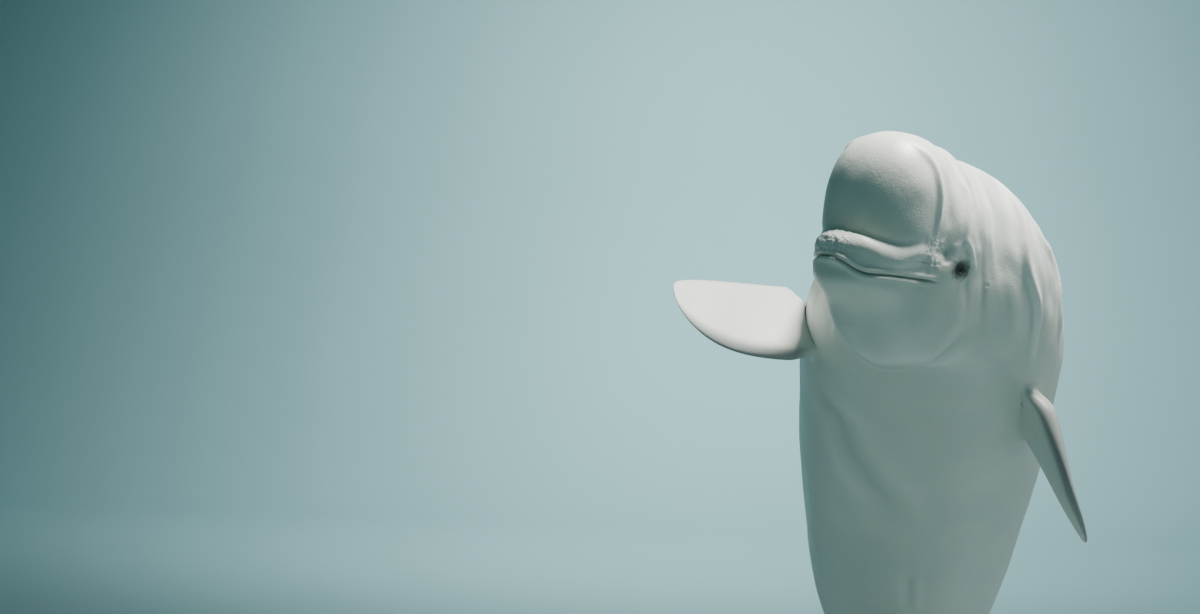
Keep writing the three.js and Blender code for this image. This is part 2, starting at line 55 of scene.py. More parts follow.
# Sections of the straight body: distance from the snout, half width, back height, belly depth
SECTIONS = np.array([
    (0.015, 0.045, 0.020, 0.022),
    (0.050, 0.082, 0.040, 0.059),
    (0.120, 0.112, 0.070, 0.115),
    (0.200, 0.134, 0.125, 0.212),
    (0.310, 0.164, 0.279, 0.248),
    (0.420, 0.182, 0.286, 0.226),
    (0.550, 0.252, 0.277, 0.234),
    (0.750, 0.322, 0.300, 0.284),
    (1.000, 0.361, 0.333, 0.312),
    (1.350, 0.362, 0.330, 0.340),
    (1.700, 0.345, 0.340, 0.340),
    (2.100, 0.310, 0.318, 0.312),
    (2.500, 0.222, 0.265, 0.256),
    (2.900, 0.148, 0.195, 0.190),
    (3.200, 0.092, 0.135, 0.135),
    (3.400, 0.058, 0.092, 0.092),
    (3.520, 0.048, 0.060, 0.060),
])
SECTION_POWER = 2.15

# Round forms of the head: centre, radii along (s, x, h), and over what width each blends into the rest
MELON_AT, MELON_RADII, MELON_POWER = (0.190, 0.0, 0.144), (0.149, 0.141, 0.167), 2.3
MELON_UNDER, MELON_BLEND = 0.240, (0.022, 0.077)
LOWER_LIP_AT, LOWER_LIP_RADII, LOWER_LIP_BLEND = (0.155, 0.0, -0.040), (0.146, 0.106, 0.055), 0.030
CHEEK_AT, CHEEK_RADII, CHEEK_BLEND = (0.235, 0.105, 0.010), (0.060, 0.048, 0.055), 0.030
BROW_AT, BROW_RADII, BROW_BLEND = (0.300, 0.080, 0.100), (0.110, 0.090, 0.110), 0.050

# Upper lip: a roll round an oval plate. Its height at the snout, its dip beside it and its climb to the cheek
LIP_AT, LIP_RADII, LIP_ROLL = (0.165, 0.0), (0.126, 0.100), 0.037
LIP_NARROW, LIP_BLEND = 0.012, 0.012
LIP_HEIGHT, LIP_DIP, LIP_CLIMB = 0.028, 0.007, 0.024

# Low ridge on the back
RIDGE_FROM, RIDGE_TO, RIDGE_HEIGHT, RIDGE_HALF_WIDTH = 1.720, 2.380, 0.020, 0.030

# Centre of the head, how far back the line of centres drops to the axis, and the end of the tail stock
CENTRE_S, CENTRE_H = 0.220, 0.035
CENTRE_DROPS = (0.200, 0.800)
STOCK_END = 3.400

# Mouth: how far back its corner is, and the height of its line from the right side to the left
MOUTH_CORNER = 0.205
MOUTH_X = np.array([-0.220, -0.110, -0.075, -0.045, -0.010, 0.022, 0.045, 0.070, 0.108, 0.140, 0.220])
MOUTH_H = np.array([-0.016, -0.014, -0.006, 0.001, 0.002, -0.007, -0.018, -0.024, -0.019, -0.017, -0.016])

# Eyes
EYE_S, EYE_H, EYE_RADIUS, EYE_SUNK = 0.275, 0.019, 0.018, 0.015
EYE_OPENING = (0.0125, 0.0090)
CORNEA = 0.0010
LID = 0.0016

# Flippers: sizes along the blade, and of each its side, the s, angle and twist of its root, and where its tip
# and its leading edge point
FLIPPER_LENGTH, FLIPPER_CURL = 0.415, 0.055
LEADING_ROOT, LEADING_WIDEST, LEADING_AT = 0.074, 0.150, 0.79
TRAILING_ROOT, TRAILING_WIDEST, TRAILING_AT = 0.084, 0.168, 0.15
THICK_ROOT, THICK_MIDDLE, THICK_TIP = 0.040, 0.021, 0.008
BLUNT = 0.75
FLIPPERS = {
    "left": dict(
        side=1, s=0.870, angle=-38, twist=-12, tip=(0.200, 0.090, -0.975), lead=(0.16, -0.98, 0.04),
    ),
    "right": dict(
        side=-1, s=0.875, angle=-14, twist=0, tip=(-0.885, -0.365, 0.278), lead=(0.10, -0.63, -0.76),
    ),
}

# Flukes
HALF_SPAN, FLUKE_TIP, FLUKE_NOTCH = 0.470, 3.745, BODY_LENGTH
BLADE, EDGE, DROOP = 0.034, 0.0015, 0.025
LEADING_CONTROLS = ((3.500, 0.075), (3.600, 0.350))
TRAILING_CONTROLS = ((3.895, 0.030), (3.935, 0.300))

# Stand: half sizes of the board, and of each rod its place, radius, foot and the s of the belly over it
BOARD_HALF, BOARD_HEIGHT, BOARD_CORNER, BOARD_BEVEL = (0.550, 1.000), 0.040, 0.120, 0.004
RODS = {
    "front": dict(at=(0.012, -0.058), radius=0.045, foot=0.120, s=1.85),
    "rear": dict(at=(-0.053, 0.770), radius=0.032, foot=0.090, s=2.95),
}
FOOT_HEIGHT, FOOT_STEP, FOOT_RING, GAP, ROD_CLEARANCE = 0.014, 0.004, 0.016, 0.0003, 0.0005

# Mesh of the skin: its columns and rings, and half the rows and columns of an eye's and a flipper's block
COLUMNS, HEAD_RINGS, FLUKE_RINGS, FLIPPER_RINGS = 240, 96, 34, 34
HEAD_SPACING, TRUNK_SPACING, TAIL_SPACING = 0.0034, 0.0105, 0.036
EYE_BLOCK, FLIPPER_BLOCK = (8, 4), (9, 5)
FILLET_RINGS, FILLET_SPREAD, FILLET_LENGTH = 9, 1.30, 0.050

# UV map: the body's skin fills the width up to BODY_UV, and the flippers lie one over the other beside it
BODY_UV, FIN_UV, FIN_UV_STEP, FIN_UV_HEIGHT = 0.86, (0.88, 0.99), 0.51, 0.48


def ease(x, start, end):
    """Smooth step: 3 t^2 - 2 t^3 of the share t of the way from start to end."""
    t = np.clip((x - start) / (end - start), 0, 1)
    return t * t * (3 - 2 * t)


def mix(a, b, t):
    """a + (b - a) t"""
    return a + (b - a) * t


def blend(a, b, width):
    """The smaller of a and b, with a parabola where they are less than width apart."""
    t = np.clip(0.5 + (b - a) / (2 * width), 0, 1)
    return mix(b, a, t) - width * t * (1 - t)


def bump(x, centre, width):
    """Bell curve: e to the minus square of the distance from the centre in widths."""
    return np.exp(-(((x - centre) / width) ** 2))


def hermite(a, b, leave, arrive, t):
    """Cubic from a to b with slopes a' and b' there: (2t^3-3t^2+1) a + (t^3-2t^2+t) a' + (3t^2-2t^3) b +
    (t^3-t^2) b'."""
    start = (2 * t**3 - 3 * t**2 + 1) * a + (t**3 - 2 * t**2 + t) * leave
    return start + (3 * t**2 - 2 * t**3) * b + (t**3 - t**2) * arrive


def unit(v):
    """Vectors divided by their lengths."""
    v = np.asarray(v, float)
    return v / np.maximum(np.linalg.norm(v, axis=-1, keepdims=True), 1e-12)


def oval(offsets, radii):
    """Near distance to an ellipse or ellipsoid: k0 (k0 - 1) / k1, with k0 the length of the offsets from
    its centre over the radii and k1 that of the offsets over their squares."""
    k0 = np.sqrt(sum((offset / radius) ** 2 for offset, radius in zip(offsets, radii)))
    k1 = np.sqrt(sum((offset / radius**2) ** 2 for offset, radius in zip(offsets, radii)))
    return k0 * (k0 - 1) / np.maximum(k1, 1e-9)


def ellipsoid(s, x, h, at, radii):
    """Near distance to an ellipsoid round a centre."""
    return oval((s - at[0], x - at[1], h - at[2]), radii)


def upper_lip(s, x, h):
    """Distance to the upper lip: that of a point to a level oval plate, less the radius of the roll at its
    rim. The plate climbs towards the cheek."""
    wide = LIP_RADII[1] - LIP_NARROW * (1 - ease(s, 0.04, 0.15))
    outside = np.maximum(oval((s - LIP_AT[0], x - LIP_AT[1]), (LIP_RADII[0], wide)), 0)
    above = h - LIP_HEIGHT + LIP_DIP * ease(s, 0.02, 0.055) - LIP_CLIMB * ease(s, 0.065, 0.155)
    return np.hypot(outside, above) - LIP_ROLL * (1 - 0.5 * ease(s, 0.185, 0.25))


def melon(s, x, h):
    """Near distance to the melon, a superellipsoid: the power mean of the point over the radii, less one.
    Its lower half is drawn out downwards."""
    above = h - MELON_AT[2]
    drawn = np.where(above < 0, above * MELON_RADII[2] / MELON_UNDER, above)
    offsets = (s - MELON_AT[0], x - MELON_AT[1], drawn)
    k = sum(np.abs(offset / radius) ** MELON_POWER for offset, radius in zip(offsets, MELON_RADII))
    return (k ** (1 / MELON_POWER) - 1) * min(MELON_RADII)


def monotone_slopes(xs, ys):
    """Slopes of a cubic that doesn't overshoot: the harmonic mean of the two rises at a point, or none at a
    turn."""
    step = np.diff(xs)
    rise = np.diff(ys) / step
    w1 = 2 * step[1:] + step[:-1]
    w2 = step[1:] + 2 * step[:-1]
    same = rise[:-1] * rise[1:] > 0
    safe = np.where(same, rise[:-1] * rise[1:], 1)
    inner = np.where(same, (w1 + w2) * safe / (w1 * rise[1:] + w2 * rise[:-1] + (~same)), 0)
    return np.concatenate([rise[:1], inner, rise[-1:]])


MOUTH_SLOPES = monotone_slopes(MOUTH_X, MOUTH_H)
SECTION_SLOPES = [monotone_slopes(SECTIONS[:, 0], SECTIONS[:, k]) for k in (1, 2, 3)]


def section(column, s):
    """One column of the sections at s."""
    return smooth_curve(SECTIONS[:, 0], SECTIONS[:, column], SECTION_SLOPES[column - 1], s)


def smooth_curve(xs, ys, slopes, s):
    """Hermite cubics between points."""
    s = np.clip(s, xs[0], xs[-1])
    i = np.clip(np.searchsorted(xs, s) - 1, 0, len(xs) - 2)
    step = xs[i + 1] - xs[i]
    return hermite(ys[i], ys[i + 1], step * slopes[i], step * slopes[i + 1], (s - xs[i]) / step)


def lofted_body(s, x, h):
    """Near distance to the loft through the sections, each a superellipse |x/w|^n + |(h-m)/v|^n = 1."""
    width, back, belly = (section(column, s) for column in (1, 2, 3))
    half, middle = (back + belly) / 2, (back - belly) / 2
    reach = np.abs(x / width) ** SECTION_POWER + np.abs((h - middle) / half) ** SECTION_POWER
    return (reach ** (1 / SECTION_POWER) - 1) * np.minimum(width, half) + np.maximum(SECTIONS[0, 0] - s, 0)


def back_ridge(s, x, h):
    """Height of the low ridge on the back: a bell across it, easing in and out along it."""
    along = ease(s, RIDGE_FROM, RIDGE_FROM + 0.2) * (1 - ease(s, RIDGE_TO - 0.25, RIDGE_TO))
    return np.where(h > 0, RIDGE_HEIGHT * along * bump(x, 0, RIDGE_HALF_WIDTH), 0)


def body_distance(s, x, h):
    """Near distance to the body: the loft, blended with the round forms of the head, less the ridge's
    height."""
    ax = np.abs(x)
    d = lofted_body(s, ax, h)
    d = blend(d, ellipsoid(s, ax, h, BROW_AT, BROW_RADII), BROW_BLEND)
    d = blend(d, ellipsoid(s, ax, h, LOWER_LIP_AT, LOWER_LIP_RADII), LOWER_LIP_BLEND)
    d = blend(d, melon(s, ax, h), mix(*MELON_BLEND, ease(s, 0.10, 0.26)))
    d = blend(d, ellipsoid(s, ax, h, CHEEK_AT, CHEEK_RADII), CHEEK_BLEND)
    d = blend(d, upper_lip(s, ax, h), LIP_BLEND)
    return d - back_ridge(s, x, h)


def on_skin(start, direction):
    """Points on rays where body_distance is nought, by halving the interval that holds the crossing."""
    near = np.zeros(start.shape[:-1])
    far = near + 0.7
    for _ in range(22):
        middle = (near + far) / 2
        inside = body_distance(*np.moveaxis(start + middle[..., None] * direction, -1, 0)) < 0
        near = np.where(inside, middle, near)
        far = np.where(inside, far, middle)
    return start + near[..., None] * direction


def centre_height(s):
    """Height of the line that the rings are measured from."""
    return CENTRE_H * (1 - ease(s, *CENTRE_DROPS))


def centre_at(s):
    """Points at s on the line that the rings are measured from."""
    return np.stack([s, 0 * s, centre_height(s)], -1)


def bezier(points, t):
    """Cubic curve: the four points weighted by (1-t)^3, 3t(1-t)^2, 3t^2(1-t) and t^3."""
    weights = ((1 - t) ** 3, 3 * t * (1 - t) ** 2, 3 * t * t * (1 - t), t**3)
    return [sum(weight * point[k] for weight, point in zip(weights, points)) for k in (0, 1)]


# Half width and half height of the end of the tail stock
STOCK_ROUND = np.radians(np.arange(0, 360, 2))
STOCK_OUT = np.stack([0 * STOCK_ROUND, np.cos(STOCK_ROUND), np.sin(STOCK_ROUND)], -1)
_, STOCK_WIDTH, STOCK_HALF = on_skin(0 * STOCK_OUT + (STOCK_END, 0, 0), STOCK_OUT).max(0)


def fluke(stock, q):
    """Flukes: the plan is the patch between the end of the tail stock (q = 0), the leading edges (|xi| = 1)
    and the trailing edge (q = 1), each blended linearly and the corners taken off once. The height is that
    of the stock's ring, flattened to a blade whose thickness falls as (1 - q)^0.8, less a droop by the
    square of the span."""
    xi = np.minimum(np.abs(stock[..., 1]) / STOCK_WIDTH, 1)
    tip = (FLUKE_TIP, HALF_SPAN)
    leading = bezier([(STOCK_END, STOCK_WIDTH), *LEADING_CONTROLS, tip], q)
    trailing = bezier([(FLUKE_NOTCH, 0), *TRAILING_CONTROLS, tip], xi)
    corners = mix(STOCK_END, mix(FLUKE_NOTCH, FLUKE_TIP, xi), q)
    s = mix(STOCK_END, trailing[0], q) + mix(mix(STOCK_END, FLUKE_NOTCH, q), leading[0], xi) - corners
    out = mix(STOCK_WIDTH * xi, trailing[1], q) + xi * (leading[1] - mix(STOCK_WIDTH, HALF_SPAN, q))
    thick = (STOCK_HALF - BLADE) * (1 - ease(q, 0, 0.6)) + BLADE * np.clip(1 - q, 0, 1) ** 0.8 + EDGE
    flat = np.clip(stock[..., 2] / STOCK_HALF, -1, 1)
    share = np.where(q < 1, flat, np.sign(flat) * np.sqrt(np.abs(flat)))
    height = share * thick - DROOP * (out / HALF_SPAN) ** 2
    return np.stack([s, np.sign(stock[..., 1]) * out, height], -1)


def straight_skin(t, phi):
    """Point of the straight skin. t is 0 at the snout, 1 at the head's centre, 2 at the end of the tail
    stock and 3 at the flukes' trailing edge. phi turns from the left side over the back. In front of the
    head's centre the ray lies on a cone that opens with t, behind it the ray stands across the body."""
    axis = unit([-CENTRE_S, -CENTRE_H])
    opening = np.minimum(t, 1) * math.pi / 2
    s = CENTRE_S + (STOCK_END - CENTRE_S) * np.clip(t - 1, 0, 1)
    ahead, across, up = np.cos(opening), np.sin(opening) * np.cos(phi), np.sin(opening) * np.sin(phi)
    point = on_skin(centre_at(s), np.stack([ahead * axis[0], across, ahead * axis[1] + up], -1))
    return np.where((t > 2)[..., None], fluke(point, np.clip(t - 2, 0, 1)), point)


def turn_about(axis, degrees, v):
    """Vectors turned about a coordinate axis by the right-hand rule."""
    c = np.cos(np.radians(degrees))[..., None]
    d = np.sin(np.radians(degrees))[..., None]
    i, j = (axis + 1) % 3, (axis + 2) % 3
    out = v.copy()
    out[..., i] = (c * v[..., i, None] - d * v[..., j, None])[..., 0]
    out[..., j] = (d * v[..., i, None] + c * v[..., j, None])[..., 0]
    return out


def directions(s):
    """Across, along and up at a distance s: the axes, rolled, pitched, turned and leant by the eased angles
    there."""
    bent = ease(s, *NECK_BEND)
    pitch = mix(HEAD_PITCH, TRUNK_PITCH, bent)
    pitch = pitch + (LOIN_PITCH - TRUNK_PITCH) * ease(s, *LOIN_BEND)
    pitch = pitch + (TAIL_PITCH - LOIN_PITCH) * ease(s, *TAIL_BEND)
    yaw = mix(HEAD_YAW, TRUNK_YAW, ease(s, *NECK_TURN))
    found = []
    for axis in np.eye(3):
        v = np.broadcast_to(axis, s.shape + (3,)).copy()
        v = turn_about(1, HEAD_ROLL * (1 - bent), v)
        v = turn_about(0, -pitch, v)
        v = turn_about(2, yaw, v)
        found.append(turn_about(1, TRUNK_LEAN * bent, v))
    return found


SPINE_S = np.arange(-0.1, 4.2, 0.0025)
SPINE_ALONG = directions((SPINE_S[1:] + SPINE_S[:-1]) / 2)[1] * 0.0025
SPINE = np.concatenate([np.zeros((1, 3)), np.cumsum(SPINE_ALONG, 0)])
SPINE += SNOUT - np.array([np.interp(0, SPINE_S, SPINE[:, k]) for k in range(3)])


def place(p):
    """The straight point carried onto the spine: the spine at s, plus x across and h up."""
    across, _, up = directions(p[..., 0])
    centre = np.stack([np.interp(p[..., 0], SPINE_S, SPINE[:, k]) for k in range(3)], -1)
    return centre + p[..., 1, None] * across + p[..., 2, None] * up


def flipper_point(name, t, turn):
    """Flipper: a lens carried along a straight axis. At the share t of its length the half chord before and
    behind the axis and the half thickness follow the sizes above; u = cos(turn) runs from trailing to
    leading edge, and the height is sin(turn) (0.66 + 0.34 u) times the half thickness. In front of the axis
    the distance across is the power BLUNT of u, for a thick edge. The chord is twisted at the root, and the
    middle curls up by the square of t."""
    sizes = FLIPPERS[name]
    side = sizes["side"]
    outward = np.radians(sizes["angle"])
    root = on_skin(centre_at(np.array(sizes["s"])), np.array([0, side * np.cos(outward), np.sin(outward)]))
    axis = unit(sizes["tip"])
    lead = np.array(sizes["lead"])
    chord = unit(lead - lead.dot(axis) * axis)
    along = np.clip(t, 0, 1)
    twist = np.radians(sizes["twist"]) * (1 - ease(along, 0, 0.7))[..., None]
    chord = np.cos(twist) * chord + np.sin(twist) * np.cross(axis, chord)
    down = np.cross(axis, chord) * side
    swell = np.sin(np.pi / 2 * np.minimum(along / LEADING_AT, 1))
    before = mix(LEADING_ROOT, LEADING_WIDEST, swell) * np.sqrt(1 - along**4)
    tapering = np.minimum(1, (1 - along) / (1 - TRAILING_AT)) ** 0.67
    behind = mix(TRAILING_ROOT, TRAILING_WIDEST, ease(along, 0, TRAILING_AT)) * tapering
    thick = mix(mix(THICK_ROOT, THICK_MIDDLE, ease(t, 0, 0.6)), THICK_TIP, ease(t, 0.6, 1))
    thick = thick * np.sqrt(1 - along**6)
    u = np.cos(turn)
    across = np.where(u > 0, np.maximum(u, 0) ** BLUNT * before, u * behind)
    lift = np.sin(turn) * (0.66 + 0.34 * u) * thick - FLIPPER_CURL * along**2
    parts = ((t * FLIPPER_LENGTH, axis), (across, chord), (lift, down))
    return place(root) + sum(far[..., None] * way for far, way in parts)


def ring_shares():
    """t of every ring. Behind the head the rings are spaced by a smooth function of s, closer at the
    eyes."""
    s = np.linspace(CENTRE_S, STOCK_END, 6000)
    spacing = mix(HEAD_SPACING, TRUNK_SPACING, ease(s, 0.36, 0.72))
    spacing = mix(spacing, TAIL_SPACING, ease(s, 1.05, 2.3))
    spacing = spacing * (1 - 0.6 * bump(s, EYE_S, 0.030))
    count = np.concatenate([[0], np.cumsum(np.diff(s) / spacing[1:])])
    wanted = np.linspace(0, count[-1], int(round(count[-1])) + 1)[1:]
    tube = share_of(np.interp(wanted, count, s))
    head = np.arange(1, HEAD_RINGS + 1) / HEAD_RINGS
    blade = 2 + np.sin(np.linspace(0, math.pi / 2, FLUKE_RINGS + 1)[1:])
    blade[-1] = 3
    return np.concatenate([head, tube, blade])


def column_angles(t):
    """phi of every vertex: even on the trunk, and closer at the mouth and eyes on the head. The seam is on
    the back."""
    even = np.linspace(0, 2 * math.pi, COLUMNS, endpoint=False)
    phi = np.linspace(0, 2 * math.pi, 4001)
    angle = phi + math.pi / 2
    low = math.radians(-14)
    width = math.radians(17)
    density = 1 + 2.3 * sum(bump(np.sin((angle - a) / 2) * 2, 0, width) for a in (low, math.pi - low))
    density += 0.8 * bump(np.sin((angle - math.pi / 2) / 2) * 2, 0, math.radians(14))
    count = np.concatenate([[0], np.cumsum((density[1:] + density[:-1]) / 2)])
    close = np.interp(even / (2 * math.pi), count / count[-1], phi)
    s = CENTRE_S + (STOCK_END - CENTRE_S) * (t - 1)
    share = (1 - ease(s, 0.42, 1.05))[:, None]
    return mix(even[None, :], close[None, :], share) + math.pi / 2


def perimeter(rows, cols):
    """Offsets (i, j) of the vertices on the edge of a block, once round from the middle of its front
    side."""
    front = [(-rows, j) for j in range(0, cols)]
    far = [(i, cols) for i in range(-rows, rows)]
    back = [(rows, j) for j in range(cols, -cols, -1)]
    near = [(i, -cols) for i in range(rows, -rows, -1)]
    rest = [(-rows, j) for j in range(-cols, 0)]
    return np.array(front + far + back + near + rest)


def around_block(di, dj, rows, cols):
    """Where the ray from a block's centre through a vertex leaves the block, counted along its edge, and
    the vertex's distance from the centre as a share of the way to that edge."""
    a, b = di / rows, dj / cols
    r = np.maximum(np.maximum(np.abs(a), np.abs(b)), 1e-9)
    a, b = a / r, b / r
    low = 1e-9 - 1
    sides = [(a <= low) & (b >= 0), b >= -low, a >= -low, b <= low]
    counts = [
        b * cols,
        cols + (a + 1) * rows,
        cols + 2 * rows + (1 - b) * cols,
        3 * cols + 2 * rows + (1 - a) * rows,
    ]
    total = 4 * (rows + cols)
    return np.select(sides, counts, total + b * cols) % total, r


def turned_by(angle):
    """The angle brought between minus and plus half a turn."""
    return (angle + math.pi) % (2 * math.pi) - math.pi


def pull_to(t, phi, centre, size, target_t, target_phi, reach):
    """Brings the vertices on a block's edge to the targets. Those outside it move by the shift of the edge
    in their direction, fading with distance, and those inside it lie on lines from the middle of the
    targets to the edge."""
    rows, cols = size
    i0, j0 = centre
    di = np.arange(t.shape[0])[:, None] - i0
    dj = (np.arange(COLUMNS)[None, :] - j0 + COLUMNS // 2) % COLUMNS - COLUMNS // 2
    di, dj = np.broadcast_arrays(di, dj)
    count, r = around_block(di.astype(float), dj.astype(float), rows, cols)
    edge = perimeter(rows, cols)
    edge_t = t[i0 + edge[:, 0], (j0 + edge[:, 1]) % COLUMNS]
    edge_phi = phi[i0 + edge[:, 0], (j0 + edge[:, 1]) % COLUMNS]
    shift_t = target_t - edge_t
    shift_phi = turned_by(target_phi - edge_phi)
    at = np.arange(len(edge) + 1)

    def along(values):
        return np.interp(count, at, np.append(values, values[0]))

    fade = 1 - ease(r, 1, reach)
    outside_t = t + along(shift_t) * fade
    outside_phi = phi + along(shift_phi) * fade
    middle_phi = turned_by(target_phi - target_phi[0]).mean()
    inside_t = mix(target_t.mean(), along(target_t), r)
    inside_phi = target_phi[0] + mix(middle_phi, along(turned_by(target_phi - target_phi[0])), r)
    inside_phi = phi + turned_by(inside_phi - phi)
    inside = r < 1
    return np.where(inside, inside_t, outside_t), np.where(inside, inside_phi, outside_phi), r


def nearest_vertex(t, phi, wanted_t, wanted_phi):
    """Row and column of the vertex nearest to a place on the skin."""
    i = int(np.argmin(np.abs(t[:, 0] - wanted_t)))
    j = int(np.argmin(np.abs(turned_by(phi[i] - wanted_phi))))
    return i, j


def share_of(s):
    """t of a ring behind the head's centre."""
    return 1 + (s - CENTRE_S) / (STOCK_END - CENTRE_S)


def skin_under(points, t, phi, axes=(1, 1, 1)):
    """t and phi of the skin's points nearest to points in space, by Newton steps on the two tangents. An
    axis with nought in axes doesn't count."""
    small = 1e-3
    for _ in range(10):
        here = place(straight_skin(t, phi))
        along_t = (place(straight_skin(t + small, phi)) - here) / small * axes
        along_phi = (place(straight_skin(t, phi + small)) - here) / small * axes
        gap = points - here
        a, b, c = (along_t**2).sum(-1), (along_t * along_phi).sum(-1), (along_phi**2).sum(-1)
        p, q = (along_t * gap).sum(-1), (along_phi * gap).sum(-1)
        det = a * c - b * b
        t = t + (c * p - b * q) / det
        phi = phi + (a * q - b * p) / det
    return t, phi


def grid_normals(points):
    """Unit normals of a grid that closes round its columns: the cross product of its two tangents."""
    down = np.gradient(points, axis=0)
    round_ = np.roll(points, -1, 1) - np.roll(points, 1, 1)
    return unit(np.cross(round_, down))


def eye_on_skin(side):
    """The point of the straight skin at the middle of an eye, with its t and phi."""
    start = np.array([EYE_S, 0.0, EYE_H])
    point = on_skin(start, np.array([0.0, side, 0.0]))
    angle = math.atan2(EYE_H - centre_height(EYE_S), abs(point[1]))
    return point, share_of(EYE_S), angle if side > 0 else math.pi - angle


def open_eye(t, phi, side):
    """Warps a block of the grid so that its edge is the almond rim of the lids."""
    point, eye_t, eye_phi = eye_on_skin(side)
    centre = nearest_vertex(t, phi, eye_t, eye_phi)
    edge = unit(perimeter(*EYE_BLOCK) / np.array(EYE_BLOCK))
    target_t = eye_t + edge[:, 0] * EYE_OPENING[0] / (STOCK_END - CENTRE_S)
    target_phi = eye_phi + edge[:, 1] * EYE_OPENING[1] / abs(point[1])
    return pull_to(t, phi, centre, EYE_BLOCK, target_t, target_phi, 3.0)


def flipper_edge(name, t, phi):
    """The block of the skin that a flipper grows from. Its edge goes to the flipper's outline on the skin,
    made wider for the fillet. The start and the sense of that outline are those that move the edge the
    least."""
    sizes = FLIPPERS[name]
    side = sizes["side"]
    angle = math.radians(sizes["angle"]) if side > 0 else math.pi - math.radians(sizes["angle"])
    root_t = share_of(sizes["s"])
    fine = np.linspace(0, 2 * math.pi, 721)
    outline = flipper_point(name, 0 * fine, fine)
    middle = outline[:-1].mean(0)
    wide = middle + (outline - middle) * FILLET_SPREAD
    length = np.concatenate([[0], np.cumsum(np.linalg.norm(np.diff(wide, axis=0), axis=1))])
    total = 4 * sum(FLIPPER_BLOCK)
    turn = np.interp(np.arange(total) / total * length[-1], length, fine)
    outline = flipper_point(name, 0 * turn, turn)
    wide = middle + (outline - middle) * FILLET_SPREAD
    edge_t, edge_phi = skin_under(wide, np.full(total, root_t), np.full(total, angle))
    centre = nearest_vertex(t, phi, edge_t.mean(), angle + turned_by(edge_phi - angle).mean())
    offsets = perimeter(*FLIPPER_BLOCK)
    rows = centre[0] + offsets[:, 0]
    cols = (centre[1] + offsets[:, 1]) % COLUMNS
    now = place(straight_skin(t[rows, cols], phi[rows, cols]))
    there = place(straight_skin(edge_t, edge_phi))
    choices = []
    for sense in (1, -1):
        for first in range(total):
            order = (first + sense * np.arange(total)) % total
            choices.append((((there[order] - now) ** 2).sum(), sense, first))
    _, sense, first = min(choices)
    order = (first + sense * np.arange(total)) % total
    return centre, turn[order], edge_t[order], edge_phi[order]


def flipper_rings(name, turn, edge, edge_normal):
    """Rings of a flipper from its edge on the skin to its tip. The first ones are Hermite curves that leave
    along the skin and arrive along the flipper, the others are the flipper's own outline."""
    start_share = FILLET_LENGTH / FLIPPER_LENGTH
    first = flipper_point(name, np.full(len(turn), start_share), turn)
    ahead = flipper_point(name, np.full(len(turn), start_share + 0.01), turn)
    inward = first - edge
    inward = unit(inward - (inward * edge_normal).sum(-1, keepdims=True) * edge_normal)
    reach = np.linalg.norm(first - edge, axis=-1, keepdims=True)
    leave = inward * reach * 1.3
    arrive = unit(ahead - first) * reach * 1.3
    rings = [hermite(edge, first, leave, arrive, k) for k in np.arange(1, FILLET_RINGS) / FILLET_RINGS]
    shares = mix(start_share, 1, 1 - (1 - np.arange(FLIPPER_RINGS) / FLIPPER_RINGS) ** 1.7)
    rings += [flipper_point(name, np.full(len(turn), share), turn) for share in shares]
    return np.array(rings)


def tube_faces(first, rows, cols):
    """Quads between the rings of a tube whose vertices are numbered ring after ring."""
    i, j = np.meshgrid(np.arange(rows - 1), np.arange(cols), indexing="ij")
    a = first + i * cols + j
    b = first + i * cols + (j + 1) % cols
    return np.stack([a, a + cols, b + cols, b], -1)


def fan(tip, ring):
    """Triangles from a tip to a closed ring of vertices."""
    return np.stack([np.full(len(ring), tip), ring, np.roll(ring, -1)], -1)


def tube_uv(rows, cols, low, high):
    """Corners of the same quads in a rectangle of the UV map, from low to high."""
    i, j = np.meshgrid(np.arange(rows - 1), np.arange(cols), indexing="ij")
    corners = [(j, i), (j, i + 1), (j + 1, i + 1), (j + 1, i)]
    scaled = [np.stack([u / cols, v / (rows - 1)], -1) for u, v in corners]
    low = np.array(low)
    return low + np.stack(scaled, -2) * (np.array(high) - low)


def new_mesh(name, points, faces, uvs, attributes, material):
    """Object at the origin from points, faces, the UVs of the faces' corners and named values of the
    points. Points that no face uses are dropped."""
    flat = np.concatenate([np.asarray(f).reshape(-1) for f in faces])
    used, new = np.unique(flat, return_inverse=True)
    sizes = np.concatenate([np.full(len(f), f.shape[1]) for f in faces])
    starts = np.concatenate([[0], np.cumsum(sizes)[:-1]])
    mesh = bpy.data.meshes.new(name)
    mesh.vertices.add(len(used))
    mesh.vertices.foreach_set("co", points[used].astype(np.float32).ravel())
    mesh.loops.add(len(new))
    mesh.loops.foreach_set("vertex_index", new.astype(np.int32).ravel())
    mesh.polygons.add(len(sizes))
    mesh.polygons.foreach_set("loop_start", starts.astype(np.int32))
    mesh.polygons.foreach_set("loop_total", sizes.astype(np.int32))
    mesh.polygons.foreach_set("use_smooth", np.ones(len(sizes), bool))
    mesh.update(calc_edges=True)
    layer = mesh.uv_layers.new(name="OFBake")
    layer.data.foreach_set("uv", np.concatenate([u.reshape(-1, 2) for u in uvs]).astype(np.float32).ravel())
    for key, values in attributes.items():
        attribute = mesh.attributes.new(key, "FLOAT", "POINT")
        attribute.data.foreach_set("value", values[used].astype(np.float32))
    mesh.validate()
    mesh.materials.append(material)
    thing = bpy.data.objects.new(name, mesh)
    bpy.context.scene.collection.objects.link(thing)
    return thing


